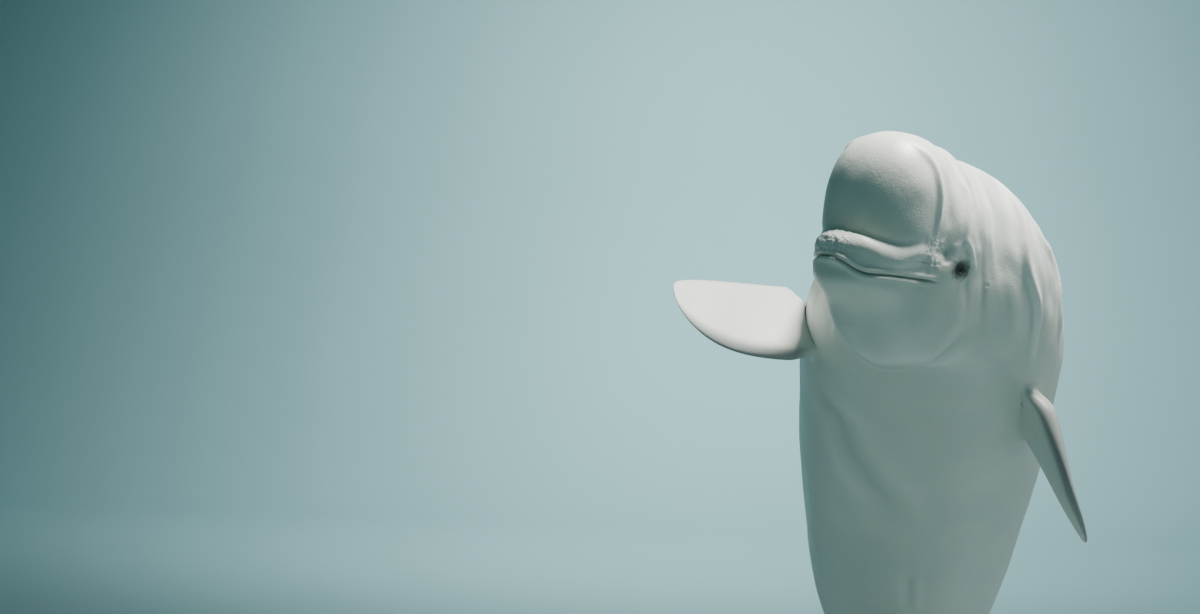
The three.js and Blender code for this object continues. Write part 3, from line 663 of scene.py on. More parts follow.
# Folds of the skin: half width, height (below nought for a groove), whether it is on both sides, and the
# points (s, x, h) of the straight body that its smooth line runs through
FOLDS = {
    "melon_side": (0.009, 0.0072, True, [
        (0.13, 0.05, 0.30), (0.13, 0.085, 0.27), (0.15, 0.115, 0.245), (0.16, 0.13, 0.21),
        (0.17, 0.14, 0.17), (0.175, 0.14, 0.12), (0.175, 0.14, 0.085),
    ]),
    "behind_melon": (0.012, -0.0025, True, [
        (0.165, 0.06, 0.30), (0.175, 0.105, 0.26), (0.195, 0.135, 0.20), (0.205, 0.15, 0.14),
        (0.205, 0.15, 0.09),
    ]),
    "cheek": (0.007, 0.0026, True, [
        (0.185, 0.145, 0.08), (0.18, 0.14, 0.055), (0.175, 0.14, 0.035), (0.18, 0.14, 0.005),
    ]),
    "cheek_fork": (0.005, 0.0012, True, [(0.20, 0.145, 0.085), (0.195, 0.15, 0.07), (0.185, 0.14, 0.05)]),
    "before_eye": (0.014, -0.005, True, [(0.205, 0.155, 0.065), (0.215, 0.16, 0.045), (0.22, 0.16, 0.025)]),
    "over_eye": (0.008, 0.0042, True, [
        (0.245, 0.17, 0.09), (0.27, 0.175, 0.08), (0.30, 0.175, 0.055), (0.32, 0.175, 0.035),
        (0.335, 0.17, 0.01),
    ]),
    "under_eye": (0.005, -0.0015, True, [(0.25, 0.16, 0.0), (0.27, 0.165, -0.01), (0.295, 0.165, -0.005)]),
    "nape_front": (0.012, 0.004, True, [
        (0.26, 0.10, 0.25), (0.26, 0.135, 0.22), (0.27, 0.15, 0.19), (0.26, 0.165, 0.15),
        (0.26, 0.175, 0.095), (0.27, 0.175, 0.065),
    ]),
    "nape_hollow": (0.016, -0.0048, True, [
        (0.30, 0.12, 0.23), (0.305, 0.145, 0.205), (0.31, 0.165, 0.165), (0.315, 0.175, 0.105),
        (0.33, 0.175, 0.065),
    ]),
    "neck_hollow": (0.020, -0.004, True, [
        (0.40, 0.11, 0.24), (0.42, 0.16, 0.16), (0.43, 0.18, 0.08), (0.44, 0.19, 0.0),
    ]),
    "neck_ridge": (0.0115, 0.012, True, [
        (0.47, 0.08, 0.26), (0.47, 0.115, 0.245), (0.475, 0.155, 0.205), (0.48, 0.18, 0.17),
        (0.48, 0.205, 0.10), (0.495, 0.22, 0.04), (0.53, 0.24, -0.02), (0.565, 0.245, -0.065),
        (0.64, 0.25, -0.13), (0.74, 0.26, -0.18),
    ]),
    "shoulder_hollow": (0.022, -0.0045, True, [
        (0.53, 0.17, 0.205), (0.56, 0.235, 0.10), (0.60, 0.265, 0.03), (0.66, 0.275, -0.05),
    ]),
    "shoulder_ridge": (0.011, 0.009, True, [
        (0.53, 0.19, 0.18), (0.555, 0.23, 0.145), (0.61, 0.265, 0.11), (0.66, 0.29, 0.065),
        (0.70, 0.31, 0.005), (0.765, 0.32, -0.045), (0.82, 0.325, -0.08),
    ]),
    "throat": (0.026, -0.0055, False, [
        (0.06, -0.06, -0.07), (0.17, -0.10, -0.135), (0.20, -0.065, -0.19), (0.26, -0.01, -0.24),
        (0.29, 0.05, -0.235), (0.37, 0.08, -0.215), (0.385, 0.14, -0.145), (0.41, 0.16, -0.09),
    ]),
    "belly_fold": (0.034, -0.0042, False, [
        (0.90, -0.32, -0.12), (0.995, -0.29, -0.195), (1.045, -0.245, -0.245),
        (1.14, -0.21, -0.275), (1.235, -0.15, -0.31), (1.335, -0.09, -0.33), (1.50, -0.055, -0.335),
    ]),
    "navel": (0.012, -0.0035, False, [
        (1.66, -0.01, -0.34), (1.74, -0.01, -0.34), (1.82, -0.005, -0.34), (1.90, 0.0, -0.34),
    ]),
    "genital_slit": (0.007, -0.0075, False, [
        (2.42, 0.0, -0.26), (2.50, 0.0, -0.255), (2.58, 0.0, -0.25), (2.64, 0.0, -0.24),
    ]),
    "vent": (0.006, -0.005, False, [(2.70, 0.0, -0.22), (2.72, 0.0, -0.22), (2.74, 0.0, -0.22)]),
}

# Swelling beside a groove: its share of the depth, and its distance and width in widths of the groove
GROOVE_SIDE = (0.4, 2.3, 1.1)

# Bells of the relief, each a height, a distance and a width: across the mouth line, under the melon, round an
# eye, round an ear and round the blowhole
MOUTH_BELLS = ((-0.0062, 0, 0.0026), (0.0030, 0.0085, 0.0055), (0.0022, -0.0085, 0.006))
MELON_DIP = (-0.004, 0, 0.010)
LID_BELLS = ((-0.0016, 0.0235, 0.0028), (0.0014, 0.030, 0.005))
EAR_BELLS = ((-0.0020, 0, 0.0032), (0.0004, 0.009, 0.005))
EAR_AT, BLOWHOLE_AT = (0.395, 0.18, -0.005), (0.360, 0.004, 0.26)
BLOWHOLE_SLIT, BLOWHOLE_MOUND = (-0.006, 0.016, 0.0045), (0.0025, 0, 0.012)

# Uneven swellings: height, wave length and seed
SWELLINGS = {
    "knobs": (0.0013, 0.011, 7),
    "ridge_notches": (0.0035, 0.055, 9),
    "blubber": (0.0022, 0.34, 1),
    "dimples": (0.0006, 0.07, 2),
}
WORN_HEIGHT, STREAK_HEIGHT, RAGGED = 0.0010, 0.0011, 0.35

# Blobs: centre and radii of the worn front of the lip and of its corner, and the painted shade round an eye
WORN_FRONT = ((0.030, -0.045, 0.033), (0.050, 0.062, 0.024))
WORN_CORNER = ((0.176, 0.142, 0.048), (0.030, 0.030, 0.040))
SURROUND_SHIFT, SURROUND_SHAPE = (0.004, 0, -0.002), (0.45, 1, 1.2)

# How far the neck's bands lean back as they run down, and how little they change along their run
NECK_SLANT, STREAK_STRETCH = 0.55, 0.12


def line_through(points, steps):
    """Smooth line through points: cubics whose tangents are half the way between the neighbours."""
    points = np.array(points, float)
    ends = np.vstack([2 * points[0] - points[1], points, 2 * points[-1] - points[-2]])
    t = np.linspace(0, 1, steps, endpoint=False)[:, None]
    neighbours = zip(ends[:-3], ends[1:-2], ends[2:-1], ends[3:])
    pieces = [hermite(b, c, (c - a) / 2, (d - b) / 2, t) for a, b, c, d in neighbours]
    return np.vstack(pieces + [points[-1:]])


def onto_skin(points):
    """Points brought onto the straight skin, from the head's centre or, behind it, straight out from the
    axis."""
    start = centre_at(np.maximum(points[:, 0], CENTRE_S))
    return on_skin(start, unit(points - start))


def distance_to_line(points, line):
    """Least distance of points to a line of short stretches, and the share of the line at which it is
    least."""
    best = np.full(points.shape[:-1], 9.0)
    share = np.zeros(points.shape[:-1])
    for k, (a, b) in enumerate(zip(line[:-1], line[1:])):
        along = b - a
        u = np.clip(((points - a) @ along) / (along @ along), 0, 1)
        d = np.linalg.norm(points - a - u[..., None] * along, axis=-1)
        share = np.where(d < best, (k + u) / (len(line) - 1), share)
        best = np.minimum(d, best)
    return best, share


def fold_relief(points):
    """Sum of the folds. Each is a bell across its line, a groove with low swellings beside it, and fades at
    its ends."""
    d = np.zeros(points.shape[:-1])
    for width, height, both, line in FOLDS.values():
        for side in (1, -1) if both else (1,):
            curve = onto_skin(line_through(line, 8) * (1, side, 1))
            low, high = curve.min(0) - 4 * width, curve.max(0) + 4 * width
            near = ((points > low) & (points < high)).all(-1)
            distance, share = distance_to_line(points[near], curve)
            across = bump(distance, 0, width)
            if height < 0:
                depth, away, wide = GROOVE_SIDE
                across -= depth * bump(distance, away * width, wide * width)
            d[near] += height * across * ease(share, 0, 0.25) * (1 - ease(share, 0.75, 1))
    return d


def waves(points, length, seed):
    """Smooth noise between about -1 and 1: sines of points along random directions, with about that wave
    length."""
    rng = np.random.default_rng(seed)
    total = np.zeros(points.shape[:-1])
    for _ in range(9):
        direction = unit(rng.normal(size=3)) * 2 * math.pi / (length * rng.uniform(0.7, 1.5))
        total += np.sin(points @ direction + rng.uniform(0, 2 * math.pi))
    return total / 4.5


def mouth_line(x):
    """Height of the mouth line at x."""
    return smooth_curve(MOUTH_X, MOUTH_H, MOUTH_SLOPES, x)


def bells(distance, *shapes):
    """Sum of bells across a line or round a spot, each with a height, a distance at which it stands and a
    width."""
    return sum(height * bump(distance, at, width) for height, at, width in shapes)


def from_spot(points, spot):
    """Distance of points from the skin at a spot."""
    return np.linalg.norm(points - onto_skin(np.array([spot]))[0], axis=-1)


def rough_patch(points):
    """Share of the worn, knobbly skin at the front of the upper lip and, fainter, at its corners: blobs
    with a ragged edge."""
    s, x, h = np.moveaxis(points, -1, 0)
    behind = np.maximum(s, WORN_FRONT[0][0])
    front, corner = (
        np.linalg.norm((np.stack(where, -1) - centre) / radii, axis=-1)
        for where, (centre, radii) in (((behind, x, h), WORN_FRONT), ((s, np.abs(x), h), WORN_CORNER))
    )
    ragged = RAGGED * waves(points, 0.020, 5)
    return np.maximum(1 - ease(front + ragged, 0.75, 1.15), 0.55 * (1 - ease(corner + ragged, 0.55, 1.15)))


def eye_relief(points, r, side):
    """Lids: outside the rim the skin bulges over the eyeball, and inside it the skin dips into the ball."""
    middle, _, _ = eye_on_skin(side)
    d = np.linalg.norm(points - middle, axis=-1)
    radii = EYE_RADIUS + LID, EYE_RADIUS
    over, ball = (np.sqrt(np.maximum(radius**2 - d**2, 0)) - EYE_SUNK for radius in radii)
    soft, dip = 0.0012, 0.004
    lid = np.log1p(np.exp(np.clip(over / soft, -30, 30))) * soft
    return np.where(r < 1, ball - dip, lid * (d < 0.03) + bells(d, *LID_BELLS))


def neck_streaks(points):
    """Low bands between -1 and 1 that run across the neck, lean back as they run down, and fade towards the
    throat and the chest."""
    s, x, h = np.moveaxis(points, -1, 0)
    along = s - NECK_SLANT * np.maximum(0.10 - h, 0)
    bands = np.clip(waves(np.stack([along, x * STREAK_STRETCH, h * STREAK_STRETCH], -1), 0.030, 17), -1, 1)
    shown = ease(along, 0.19, 0.24) * (1 - ease(along, 0.56, 0.74))
    return bands * shown * ease(h, -0.16, 0.02) * ease(np.abs(x), 0.02, 0.10)


def mouth_share(s):
    """How much there is of the mouth line: all of it up to its corner, and none behind."""
    return 1 - ease(s, MOUTH_CORNER - 0.030, MOUTH_CORNER + 0.008)


def skin_relief(points, lids, folds, worn, streaks):
    """How far the skin stands out from the solid's surface: the sum of its folds, swellings and
    openings."""
    s, x, h = np.moveaxis(points, -1, 0)
    under_melon = (1 - ease(s, 0.15, 0.21)) * (h > 0.02)
    gap = melon(s, np.abs(x), h) - upper_lip(s, np.abs(x), h)
    d = mouth_share(s) * bells(h - mouth_line(x), *MOUTH_BELLS) + under_melon * bells(gap, MELON_DIP)
    d += folds + worn * WORN_HEIGHT + streaks * STREAK_HEIGHT
    on_ridge = ease(s, RIDGE_FROM, RIDGE_FROM + 0.15) * (1 - ease(s, RIDGE_TO - 0.15, RIDGE_TO))
    before_tail = 1 - ease(s, 3.3, 3.5)
    shown = {
        "knobs": worn,
        "ridge_notches": on_ridge * bump(x, 0, 0.035) * (h > 0),
        "blubber": before_tail * ease(s, 0.4, 0.8),
        "dimples": before_tail,
    }
    for name, (height, length, seed) in SWELLINGS.items():
        d += height * shown[name] * waves(points, length, seed)
    blow = from_spot(points, BLOWHOLE_AT)
    d += bells(blow, BLOWHOLE_SLIT) * ease(s, 0.352, 0.366) + bells(blow, BLOWHOLE_MOUND)
    for side, r in lids:
        near = (np.abs(s - EYE_S) < 0.06) & (np.abs(h - EYE_H) < 0.06) & (x * side > 0.05)
        d[near] = d[near] * ease(r[near], 0.9, 4) + eye_relief(points[near], r[near], side)
        d += bells(from_spot(points, np.multiply(EAR_AT, (1, side, 1))), *EAR_BELLS)
    return d


def skin_masks(t, phi, points, folds, worn, streaks):
    """Values from 0 to 1 that tell the material where the skin is worn or has a dark edge, and where painted
    light lies: painted shade in its creases, along the mouth line and round an eye, painted highlight on the
    ridges of its folds, and painted highlight and shade in bands on the neck."""
    s, x, h = np.moveaxis(points, -1, 0)
    # Painted shade in the hollow round each eye: near black, fading outwards
    dark = 0 * s
    for side in (1, -1):
        away = np.sqrt(((points - eye_on_skin(side)[0] + SURROUND_SHIFT) ** 2 * SURROUND_SHAPE).sum(-1))
        dark = np.maximum(dark, 1 - ease(away + 0.003 * waves(points, 0.012, 11), 0.010, 0.036))
    blade = np.clip(t - 2, 0, 1)
    rim = ease(blade, 0.80, 1.0) + ease(blade, 0.08, 0.35) * np.abs(np.cos(phi)) ** 10
    return {
        # Painted highlight where the neck's bands stand up, and painted shade where they sink
        "streak_highlight": np.clip(streaks, 0, 1),
        "streak_shade": np.clip(-streaks, 0, 1),
        # Painted shade in the grooves of the folds
        "crease_shade": np.clip(-folds / 0.006, 0, 1) ** 1.5,
        # Painted highlight on the raised folds
        "ridge": np.clip(folds / 0.004, 0, 1),
        # Painted shade along the mouth line
        "mouth": mouth_share(s) * bump(h - mouth_line(x), 0, MOUTH_BELLS[0][2]),
        "rough": worn,
        "eye_hollow_shade": dark,
        "rim": np.clip(rim, 0, 1),
    }


def flipper_masks(turn):
    """The masks of a flipper's rings that aren't nought: its dark edges, with a band along the leading edge
    that is partly painted shade of the edge's underside, and painted shade in the fold at its root. The rings
    are counted from -1 at the skin over 0 at the end of the fillet to 1 at the tip."""
    fillet = np.arange(1, FILLET_RINGS) / FILLET_RINGS - 1
    along = np.concatenate([fillet, np.arange(FLIPPER_RINGS) / FLIPPER_RINGS])[:, None] + 0 * turn
    leading, trailing = np.maximum(np.cos(turn), 0), np.maximum(-np.cos(turn), 0)
    # The band along the leading edge is dark edge skin and partly painted shade of the thick edge's underside
    rim = ease(along, -0.9, -0.1) * ease(leading, 0.60, 0.88) * (1 - 0.25 * ease(along, 0.2, 0.9))
    rim += 0.5 * ease(along, 0.1, 0.5) * trailing**16 + 0.4 * ease(along, 0.85, 1)
    # The second mask is painted shade round the flipper's root
    return {"rim": rim, "crease_shade": 0.5 * bump(along, -0.75, 0.25)}


def make_skin(material):
    """The whole skin as one closed mesh: a tube from the snout to the flukes whose two blocks under the
    flippers are left out, the flippers' own rings in their place, a fan at the snout and a strip along the
    flukes' edge."""
    ring_t = ring_shares()
    phi = column_angles(ring_t)
    t = np.repeat(ring_t[:, None], COLUMNS, 1)
    lids = []
    for side in (1, -1):
        t, phi, r = open_eye(t, phi, side)
        lids.append((side, r))
    blocks = []
    for name in FLIPPERS:
        centre, turn, edge_t, edge_phi = flipper_edge(name, t, phi)
        t, phi, r = pull_to(t, phi, centre, FLIPPER_BLOCK, edge_t, edge_phi, 2.6)
        blocks.append((name, centre, turn))
    straight = straight_skin(t, phi)
    marks = fold_relief(straight), rough_patch(straight), neck_streaks(straight)
    masks = skin_masks(t, phi, straight, *marks)
    straight = straight + skin_relief(straight, lids, *marks)[..., None] * grid_normals(straight)
    body = place(straight)
    body_normal = grid_normals(body)
    rings = len(body)
    points = [body.reshape(-1, 3), place(straight[:1].mean(1))]
    values = {key: [mask.ravel(), mask[0, :1]] for key, mask in masks.items()}
    quads, uv = tube_faces(0, rings, COLUMNS), tube_uv(rings, COLUMNS, (0, 0.01), (BODY_UV, 1))
    keep = np.ones(quads.shape[:2], bool)
    snout = rings * COLUMNS
    fins, fin_uvs = [], []
    count = snout + 1
    for order, (name, (i0, j0), turn) in enumerate(blocks):
        rows, cols = FLIPPER_BLOCK
        keep[i0 - rows : i0 + rows, (j0 + np.arange(-cols, cols)) % COLUMNS] = False
        ring_i, ring_j = (((i0, j0) + perimeter(rows, cols)) % (rings, COLUMNS)).T
        fin = flipper_rings(name, turn, body[ring_i, ring_j], body_normal[ring_i, ring_j])
        points += [fin.reshape(-1, 3), flipper_point(name, np.ones(1), np.zeros(1))]
        own = flipper_masks(turn)
        for key, parts in values.items():
            mask = np.clip(own.get(key, np.zeros(fin.shape[:2])), 0, 1)
            parts += [mask.ravel(), mask[-1, :1]]
        n = len(turn)
        root, base = ring_i * COLUMNS + ring_j, count + np.arange(n)
        tip = count + len(fin) * n
        last = tip - n + np.arange(n)
        fins += [
            np.stack([root, base, np.roll(base, -1), np.roll(root, -1)], -1),
            tube_faces(count, len(fin), n).reshape(-1, 4),
            np.stack([last, np.full(n, tip), np.roll(last, -1)], -1),
        ]
        low = FIN_UV_STEP * order
        fin_uv = tube_uv(len(fin) + 1, n, (FIN_UV[0], low), (FIN_UV[1], low + FIN_UV_HEIGHT))
        fin_uvs += [fin_uv[0], fin_uv[1:], fin_uv[-1][:, (1, 1, 2)]]
        count = tip + 1
    k = np.arange(COLUMNS // 2 + 1)
    upper, lower = (snout - COLUMNS + (3 * COLUMNS // 4 + way * k) % COLUMNS for way in (1, -1))
    strip = np.stack([upper[:-1], lower[:-1], lower[1:], upper[1:]], -1)
    rim = np.stack([k / k[-1] * BODY_UV, 0 * k], -1)
    rim_uv = np.stack([rim[:-1], rim[:-1] + (0, 0.005), rim[1:] + (0, 0.005), rim[1:]], -2)
    faces = [quads[keep], *fins, fan(snout, np.arange(COLUMNS))]
    uvs = [uv[keep], *fin_uvs, np.stack([uv[0, :, 0] * (1, 0), uv[0, :, 0], uv[0, :, 3]], -2)]
    for whole, parts in ((strip, faces), (rim_uv, uvs)):
        parts += [whole[1:-1], whole[:1, (0, 2, 3)], whole[-1:, (0, 1, 2)]]
    attributes = {key: np.concatenate(parts) for key, parts in values.items()}
    return new_mesh("whale_skin", np.concatenate(points), faces, uvs, attributes, material)


def closed_tube(name, rings, first, last, attributes, material):
    """Solid of revolution or loft: rings of points joined by quads, and each end closed by a fan to a
    point. The faces are turned round when the signed volume, a sixth of the sum of the triple products,
    comes out below nought."""
    rows, cols = rings.shape[:2]
    points = np.concatenate([rings.reshape(-1, 3), np.array([first, last], float)])
    quads = tube_faces(0, rows, cols).reshape(-1, 4)
    front = np.arange(cols)
    back = (rows - 1) * cols + front
    faces = [quads, fan(rows * cols, front), fan(rows * cols + 1, back)[:, (0, 2, 1)]]
    uv = tube_uv(rows, cols, (0, 0.02), (1, 0.98)).reshape(-1, 4, 2)
    uvs = [uv, uv[:cols, (0, 0, 3)] * (1, 0), uv[-cols:, (1, 2, 1)]]
    a, b, c = (points[quads[:, k]] - points.mean(0) for k in range(3))
    if (a * np.cross(b, c)).sum() < 0:
        faces, uvs = ([part[:, ::-1] for part in parts] for parts in (faces, uvs))
    values = {key: np.append(mask.ravel(), [mask[0, 0], mask[-1, 0]]) for key, mask in attributes.items()}
    return new_mesh(name, points, faces, uvs, values, material)


def make_eyeball(side, material):
    """Eyeball: a ball whose pole looks outwards. At the angle a from the pole its radius is R plus the
    cornea's bulge, a bell in a. The value ring is a over half a turn, so that iris and pupil are rings
    round the pole."""
    middle, _, _ = eye_on_skin(side)
    a = np.linspace(0, math.pi, 34)[1:-1, None]
    b = np.linspace(0, 2 * math.pi, 48, endpoint=False)[None, :]

    def at(a, b):
        reach = EYE_RADIUS - 0.0004 + CORNEA * bump(a, 0, 0.55)
        out = np.stack([np.sin(a) * np.cos(b), side * np.cos(a) + 0 * b, np.sin(a) * np.sin(b)], -1)
        return place(middle - (0, side * EYE_SUNK, 0) + reach[..., None] * out)

    ends = at(np.array([0, math.pi]), np.zeros(2))
    ring = {"ring": (a + 0 * b) / math.pi}
    return closed_tube("eyeball_left" if side > 0 else "eyeball_right", at(a, b), *ends, ring, material)


def rounded_outline(half, corner, steps):
    """Rectangle with round corners: quarter circles about four centres, run through once round."""
    turn = np.linspace(0, math.pi / 2, steps)
    arcs = []
    for k, signs in enumerate([(1, 1), (-1, 1), (-1, -1), (1, -1)]):
        angle = turn + k * math.pi / 2
        arcs.append(np.multiply(signs, half - corner) + corner * np.stack([np.cos(angle), np.sin(angle)], -1))
    return np.concatenate(arcs)


def make_board(material):
    """Base board: its rounded outline stacked up, drawn in by the bevel's quarter circle at the lower and
    the upper edge, and then closed across the top and the bottom in ever smaller outlines."""
    quarter = np.linspace(0, math.pi / 2, 6)
    inset, rise = BOARD_BEVEL * (1 - np.sin(quarter)), BOARD_BEVEL * (1 - np.cos(quarter))
    across = [0.30, 0.12, 0.03]
    insets = np.concatenate([across, inset, inset[::-1], across[::-1]])
    heights = np.concatenate([[0, 0, 0], rise, BOARD_HEIGHT - rise[::-1], [BOARD_HEIGHT] * 3])
    rings = []
    for i, z in zip(insets, heights):
        outline = rounded_outline(np.array(BOARD_HALF) - i, max(BOARD_CORNER - i, 0.02), 14)
        rings.append(np.column_stack([outline, np.full(len(outline), z)]))
    rings = np.array(rings)
    edge = np.repeat((insets < BOARD_BEVEL * 1.01).astype(float)[:, None], rings.shape[1], 1)
    return closed_tube("base_board", rings, (0, 0, 0), (0, 0, BOARD_HEIGHT), {"edge": edge}, material)


def turned(profile, at, steps):
    """Rings of a turned piece: a profile of radii and heights carried round an upright axis."""
    angle = np.linspace(0, 2 * math.pi, steps, endpoint=False)
    radius, height = np.array(profile).T[..., None]
    x, y = at[0] + radius * np.cos(angle), at[1] + radius * np.sin(angle)
    return np.stack([x, y, height + 0 * x], -1)


def round_edge(radius, height, size):
    """Profile of a quarter circle of a size at the upper edge of a disc."""
    turn = np.linspace(0, math.pi / 2, 6)
    return [(radius - size + size * math.cos(a), height - size + size * math.sin(a)) for a in turn]


def belly_above(x, y, s):
    """Height just under the belly over points of the floor."""
    over = np.stack([x, y, 0 * x], -1)
    t, phi = skin_under(over, np.full(x.shape, share_of(s)), np.full(x.shape, 1.5 * math.pi), (1, 1, 0))
    return place(straight_skin(t, phi))[..., 2] - ROD_CLEARANCE


def make_rod(name, rod, material):
    """Upright rod from its foot to the belly: a circle swept upwards, whose last rings follow the skin."""
    low, bevel = BOARD_HEIGHT + FOOT_HEIGHT + 2 * GAP, 0.002
    radius, at, s = rod["radius"], rod["at"], rod["s"]
    profile = [(radius * 0.6, low), (radius - bevel, low), (radius, low + bevel), (radius, low + 0.02)]
    rings = turned(profile + [(radius, low)] * 2 + [(radius / 2, low)], at, 72)
    rings[-1, :, 2] = belly_above(rings[-1, :, 0], rings[-1, :, 1], s)
    rings[-2, :, 2] = belly_above(rings[-2, :, 0], rings[-2, :, 1], s)
    rings[-3, :, 2] = rings[-2, :, 2] - 0.004
    middle = belly_above(np.array(at[:1]), np.array(at[1:]), s)[0]
    return closed_tube(f"rod_{name}", rings, (*at, low), (*at, middle), {}, material)


def make_foot(name, rod, material):
    """Round foot of a rod: a disc with a rounded upper edge and a low raised ring where the rod stands."""
    low, high = BOARD_HEIGHT + GAP, BOARD_HEIGHT + GAP + FOOT_HEIGHT
    wide, ring, disc = rod["foot"], rod["radius"] + FOOT_RING, high - FOOT_STEP
    profile = [
        (wide * 0.5, low), (wide - 0.001, low), (wide, low + 0.001), *round_edge(wide, disc, 0.003),
        (ring + 0.004, disc), (ring + 0.001, disc + 0.0005), *round_edge(ring, high, 0.002),
        (rod["radius"] / 2, high),
    ]
    ends = (*rod["at"], low), (*rod["at"], high)
    return closed_tube(f"foot_{name}", turned(profile, rod["at"], 96), *ends, {}, material)


def make_screws(name, rod, material):
    """Domed screws round a foot: one small turned dome, repeated on a circle."""
    reach = (rod["foot"] + rod["radius"] + FOOT_RING) / 2
    disc = BOARD_HEIGHT + GAP + FOOT_HEIGHT - FOOT_STEP
    head, dome = 0.0085, 0.0035
    turn = np.linspace(0, math.pi / 2, 7)
    profile = [(head, disc - 0.002)] + [(head * math.cos(a), disc + dome * math.sin(a)) for a in turn[:-1]]
    made = []
    for k in range(4):
        angle = (k + 0.5) * math.pi / 2
        at = rod["at"] + reach * np.array([math.cos(angle), math.sin(angle)])
        ends = (*at, disc - 0.002), (*at, disc + dome)
        made.append(closed_tube(f"screw_{name}_{k + 1}", turned(profile, at, 24), *ends, {}, material))
    return made


def add(tree, kind, inputs=None, **settings):
    """A shader node with its settings, and with values or other nodes' sockets on its inputs."""
    made = tree.nodes.new("ShaderNode" + kind)
    for key, value in settings.items():
        setattr(made, key, value)
    for key, value in (inputs or {}).items():
        if isinstance(value, bpy.types.NodeSocket):
            tree.links.new(value, made.inputs[key])
        else:
            made.inputs[key].default_value = value
    return made


def maths(tree, operation, a, b=0.0):
    """Result of a sum, product or other operation on two values."""
    return add(tree, "Math", {0: a, 1: b}, operation=operation).outputs[0]


def times(tree, a, b):
    """Product of two values."""
    return maths(tree, "MULTIPLY", a, b)


def plus(tree, a, b):
    """Sum of two values."""
    return maths(tree, "ADD", a, b)


def minus(tree, a, b):
    """Difference of two values."""
    return maths(tree, "SUBTRACT", a, b)


def noise(tree, where, scale, detail=2.0, roughness=0.5):
    """Value of a noise at a scale."""
    inputs = {"Vector": where, "Scale": scale, "Detail": detail, "Roughness": roughness}
    return add(tree, "TexNoise", inputs).outputs["Fac"]


def drawn_out(tree, where, scales):
    """Coordinates scaled along each axis."""
    return add(tree, "VectorMath", {0: where, 1: scales}, operation="MULTIPLY").outputs[0]


def between(tree, value, low, high):
    """Share from 0 to 1, eased, of the way of a value from low to high."""
    inputs = {"Value": value, "From Min": low, "From Max": high}
    return add(tree, "MapRange", inputs, interpolation_type="SMOOTHSTEP").outputs["Result"]


def mixed(tree, share, a, b):
    """Colour between two colours. Colours are written as three numbers or come from a socket."""
    a, b = ((*c, 1) if isinstance(c, tuple) else c for c in (a, b))
    return add(tree, "Mix", {0: share, 6: a, 7: b}, data_type="RGBA").outputs[2]


def object_coordinates(tree):
    """Coordinates in metres of the points of a piece."""
    return add(tree, "TexCoord").outputs["Object"]


def from_attribute(tree, key):
    """Value that the piece's own mesh carries at each point."""
    return add(tree, "Attribute", attribute_name=key).outputs["Fac"]


def layered(tree, colour, layers):
    """Colour under layers. Each is a mask or the name of an attribute that is one, the share of it that
    shows, and the colour laid on."""
    for mask, share, paint in layers:
        if isinstance(mask, str):
            mask = from_attribute(tree, mask)
        colour = mixed(tree, times(tree, mask, share), colour, paint)
    return colour


def new_group(name, inputs, outputs):
    """Empty node group with named sockets: floats, or a vector for the coordinates."""
    tree = bpy.data.node_groups.new(name, "ShaderNodeTree")
    for key, kind in inputs.items():
        tree.interface.new_socket(key, in_out="INPUT", socket_type=kind)
    for key, kind in outputs.items():
        tree.interface.new_socket(key, in_out="OUTPUT", socket_type=kind)
    return tree, tree.nodes.new("NodeGroupInput"), tree.nodes.new("NodeGroupOutput")


VALUE, VECTOR = "NodeSocketFloat", "NodeSocketVector"


def make_mottling():
    """Cloudy mask from 0 to 1: noise, bent by a larger noise so that its clouds have no even grain."""
    inputs = {"Vector": VECTOR, "Scale": VALUE, "Softness": VALUE}
    tree, given, out = new_group("mottling", inputs, {"Mask": VALUE})
    where, scale, softness = (given.outputs[key] for key in inputs)
    wide = add(tree, "TexNoise", {"Vector": where, "Scale": times(tree, scale, 0.4)}).outputs["Color"]
    shift = add(tree, "VectorMath", {0: wide, "Scale": 0.25}, operation="SCALE").outputs[0]
    bent = add(tree, "VectorMath", {0: where, 1: shift}).outputs[0]
    clouds = noise(tree, bent, scale, 5.0, 0.55)
    low, high = minus(tree, 0.5, softness), plus(tree, 0.5, softness)
    tree.links.new(between(tree, clouds, low, high), out.inputs["Mask"])
    return tree


def make_grain():
    """Fine uneven height: small noise with a share of larger noise, about nought."""
    inputs = {"Vector": VECTOR, "Scale": VALUE, "Height": VALUE}
    tree, given, out = new_group("grain", inputs, {"Height": VALUE})
    where, scale, height = (given.outputs[key] for key in inputs)
    large = noise(tree, where, times(tree, scale, 0.23))
    both = plus(tree, noise(tree, where, scale), times(tree, large, 0.8))
    tree.links.new(times(tree, minus(tree, both, 0.9), height), out.inputs["Height"])
    return tree


def make_scratches():
    """Thin lines: where noise that is drawn out along one axis crosses its middle value, kept to some
    clouds."""
    inputs = {"Vector": VECTOR, "Scale": VALUE, "Width": VALUE, "Amount": VALUE}
    tree, given, out = new_group("scratches", inputs, {"Mask": VALUE})
    where, scale, width, amount = (given.outputs[key] for key in inputs)
    long = drawn_out(tree, where, (1.0, 0.16, 0.22))
    off = minus(tree, noise(tree, long, scale, 1.0, 0.4), 0.5)
    line = minus(tree, 1.0, between(tree, maths(tree, "ABSOLUTE", off), 0.0, width))
    shown = between(tree, noise(tree, where, 5.0), minus(tree, 0.70, amount), 0.72)
    tree.links.new(times(tree, line, shown), out.inputs["Mask"])
    return tree


def grouped(tree, group, where, **inputs):
    """Output of a node group that is placed in a material with its own values."""
    return add(tree, "Group", {"Vector": where, **inputs}, node_tree=group).outputs[0]


def new_material(name, **constants):
    """Material with its node tree, its shader, whose constant sockets are set by name, and its
    coordinates."""
    material = bpy.data.materials.new(name)
    material.use_nodes = True
    shader = material.node_tree.nodes["Principled BSDF"]
    for key, value in constants.items():
        shader.inputs[key.replace("_", " ")].default_value = value
    return material, material.node_tree, shader, object_coordinates(material.node_tree)


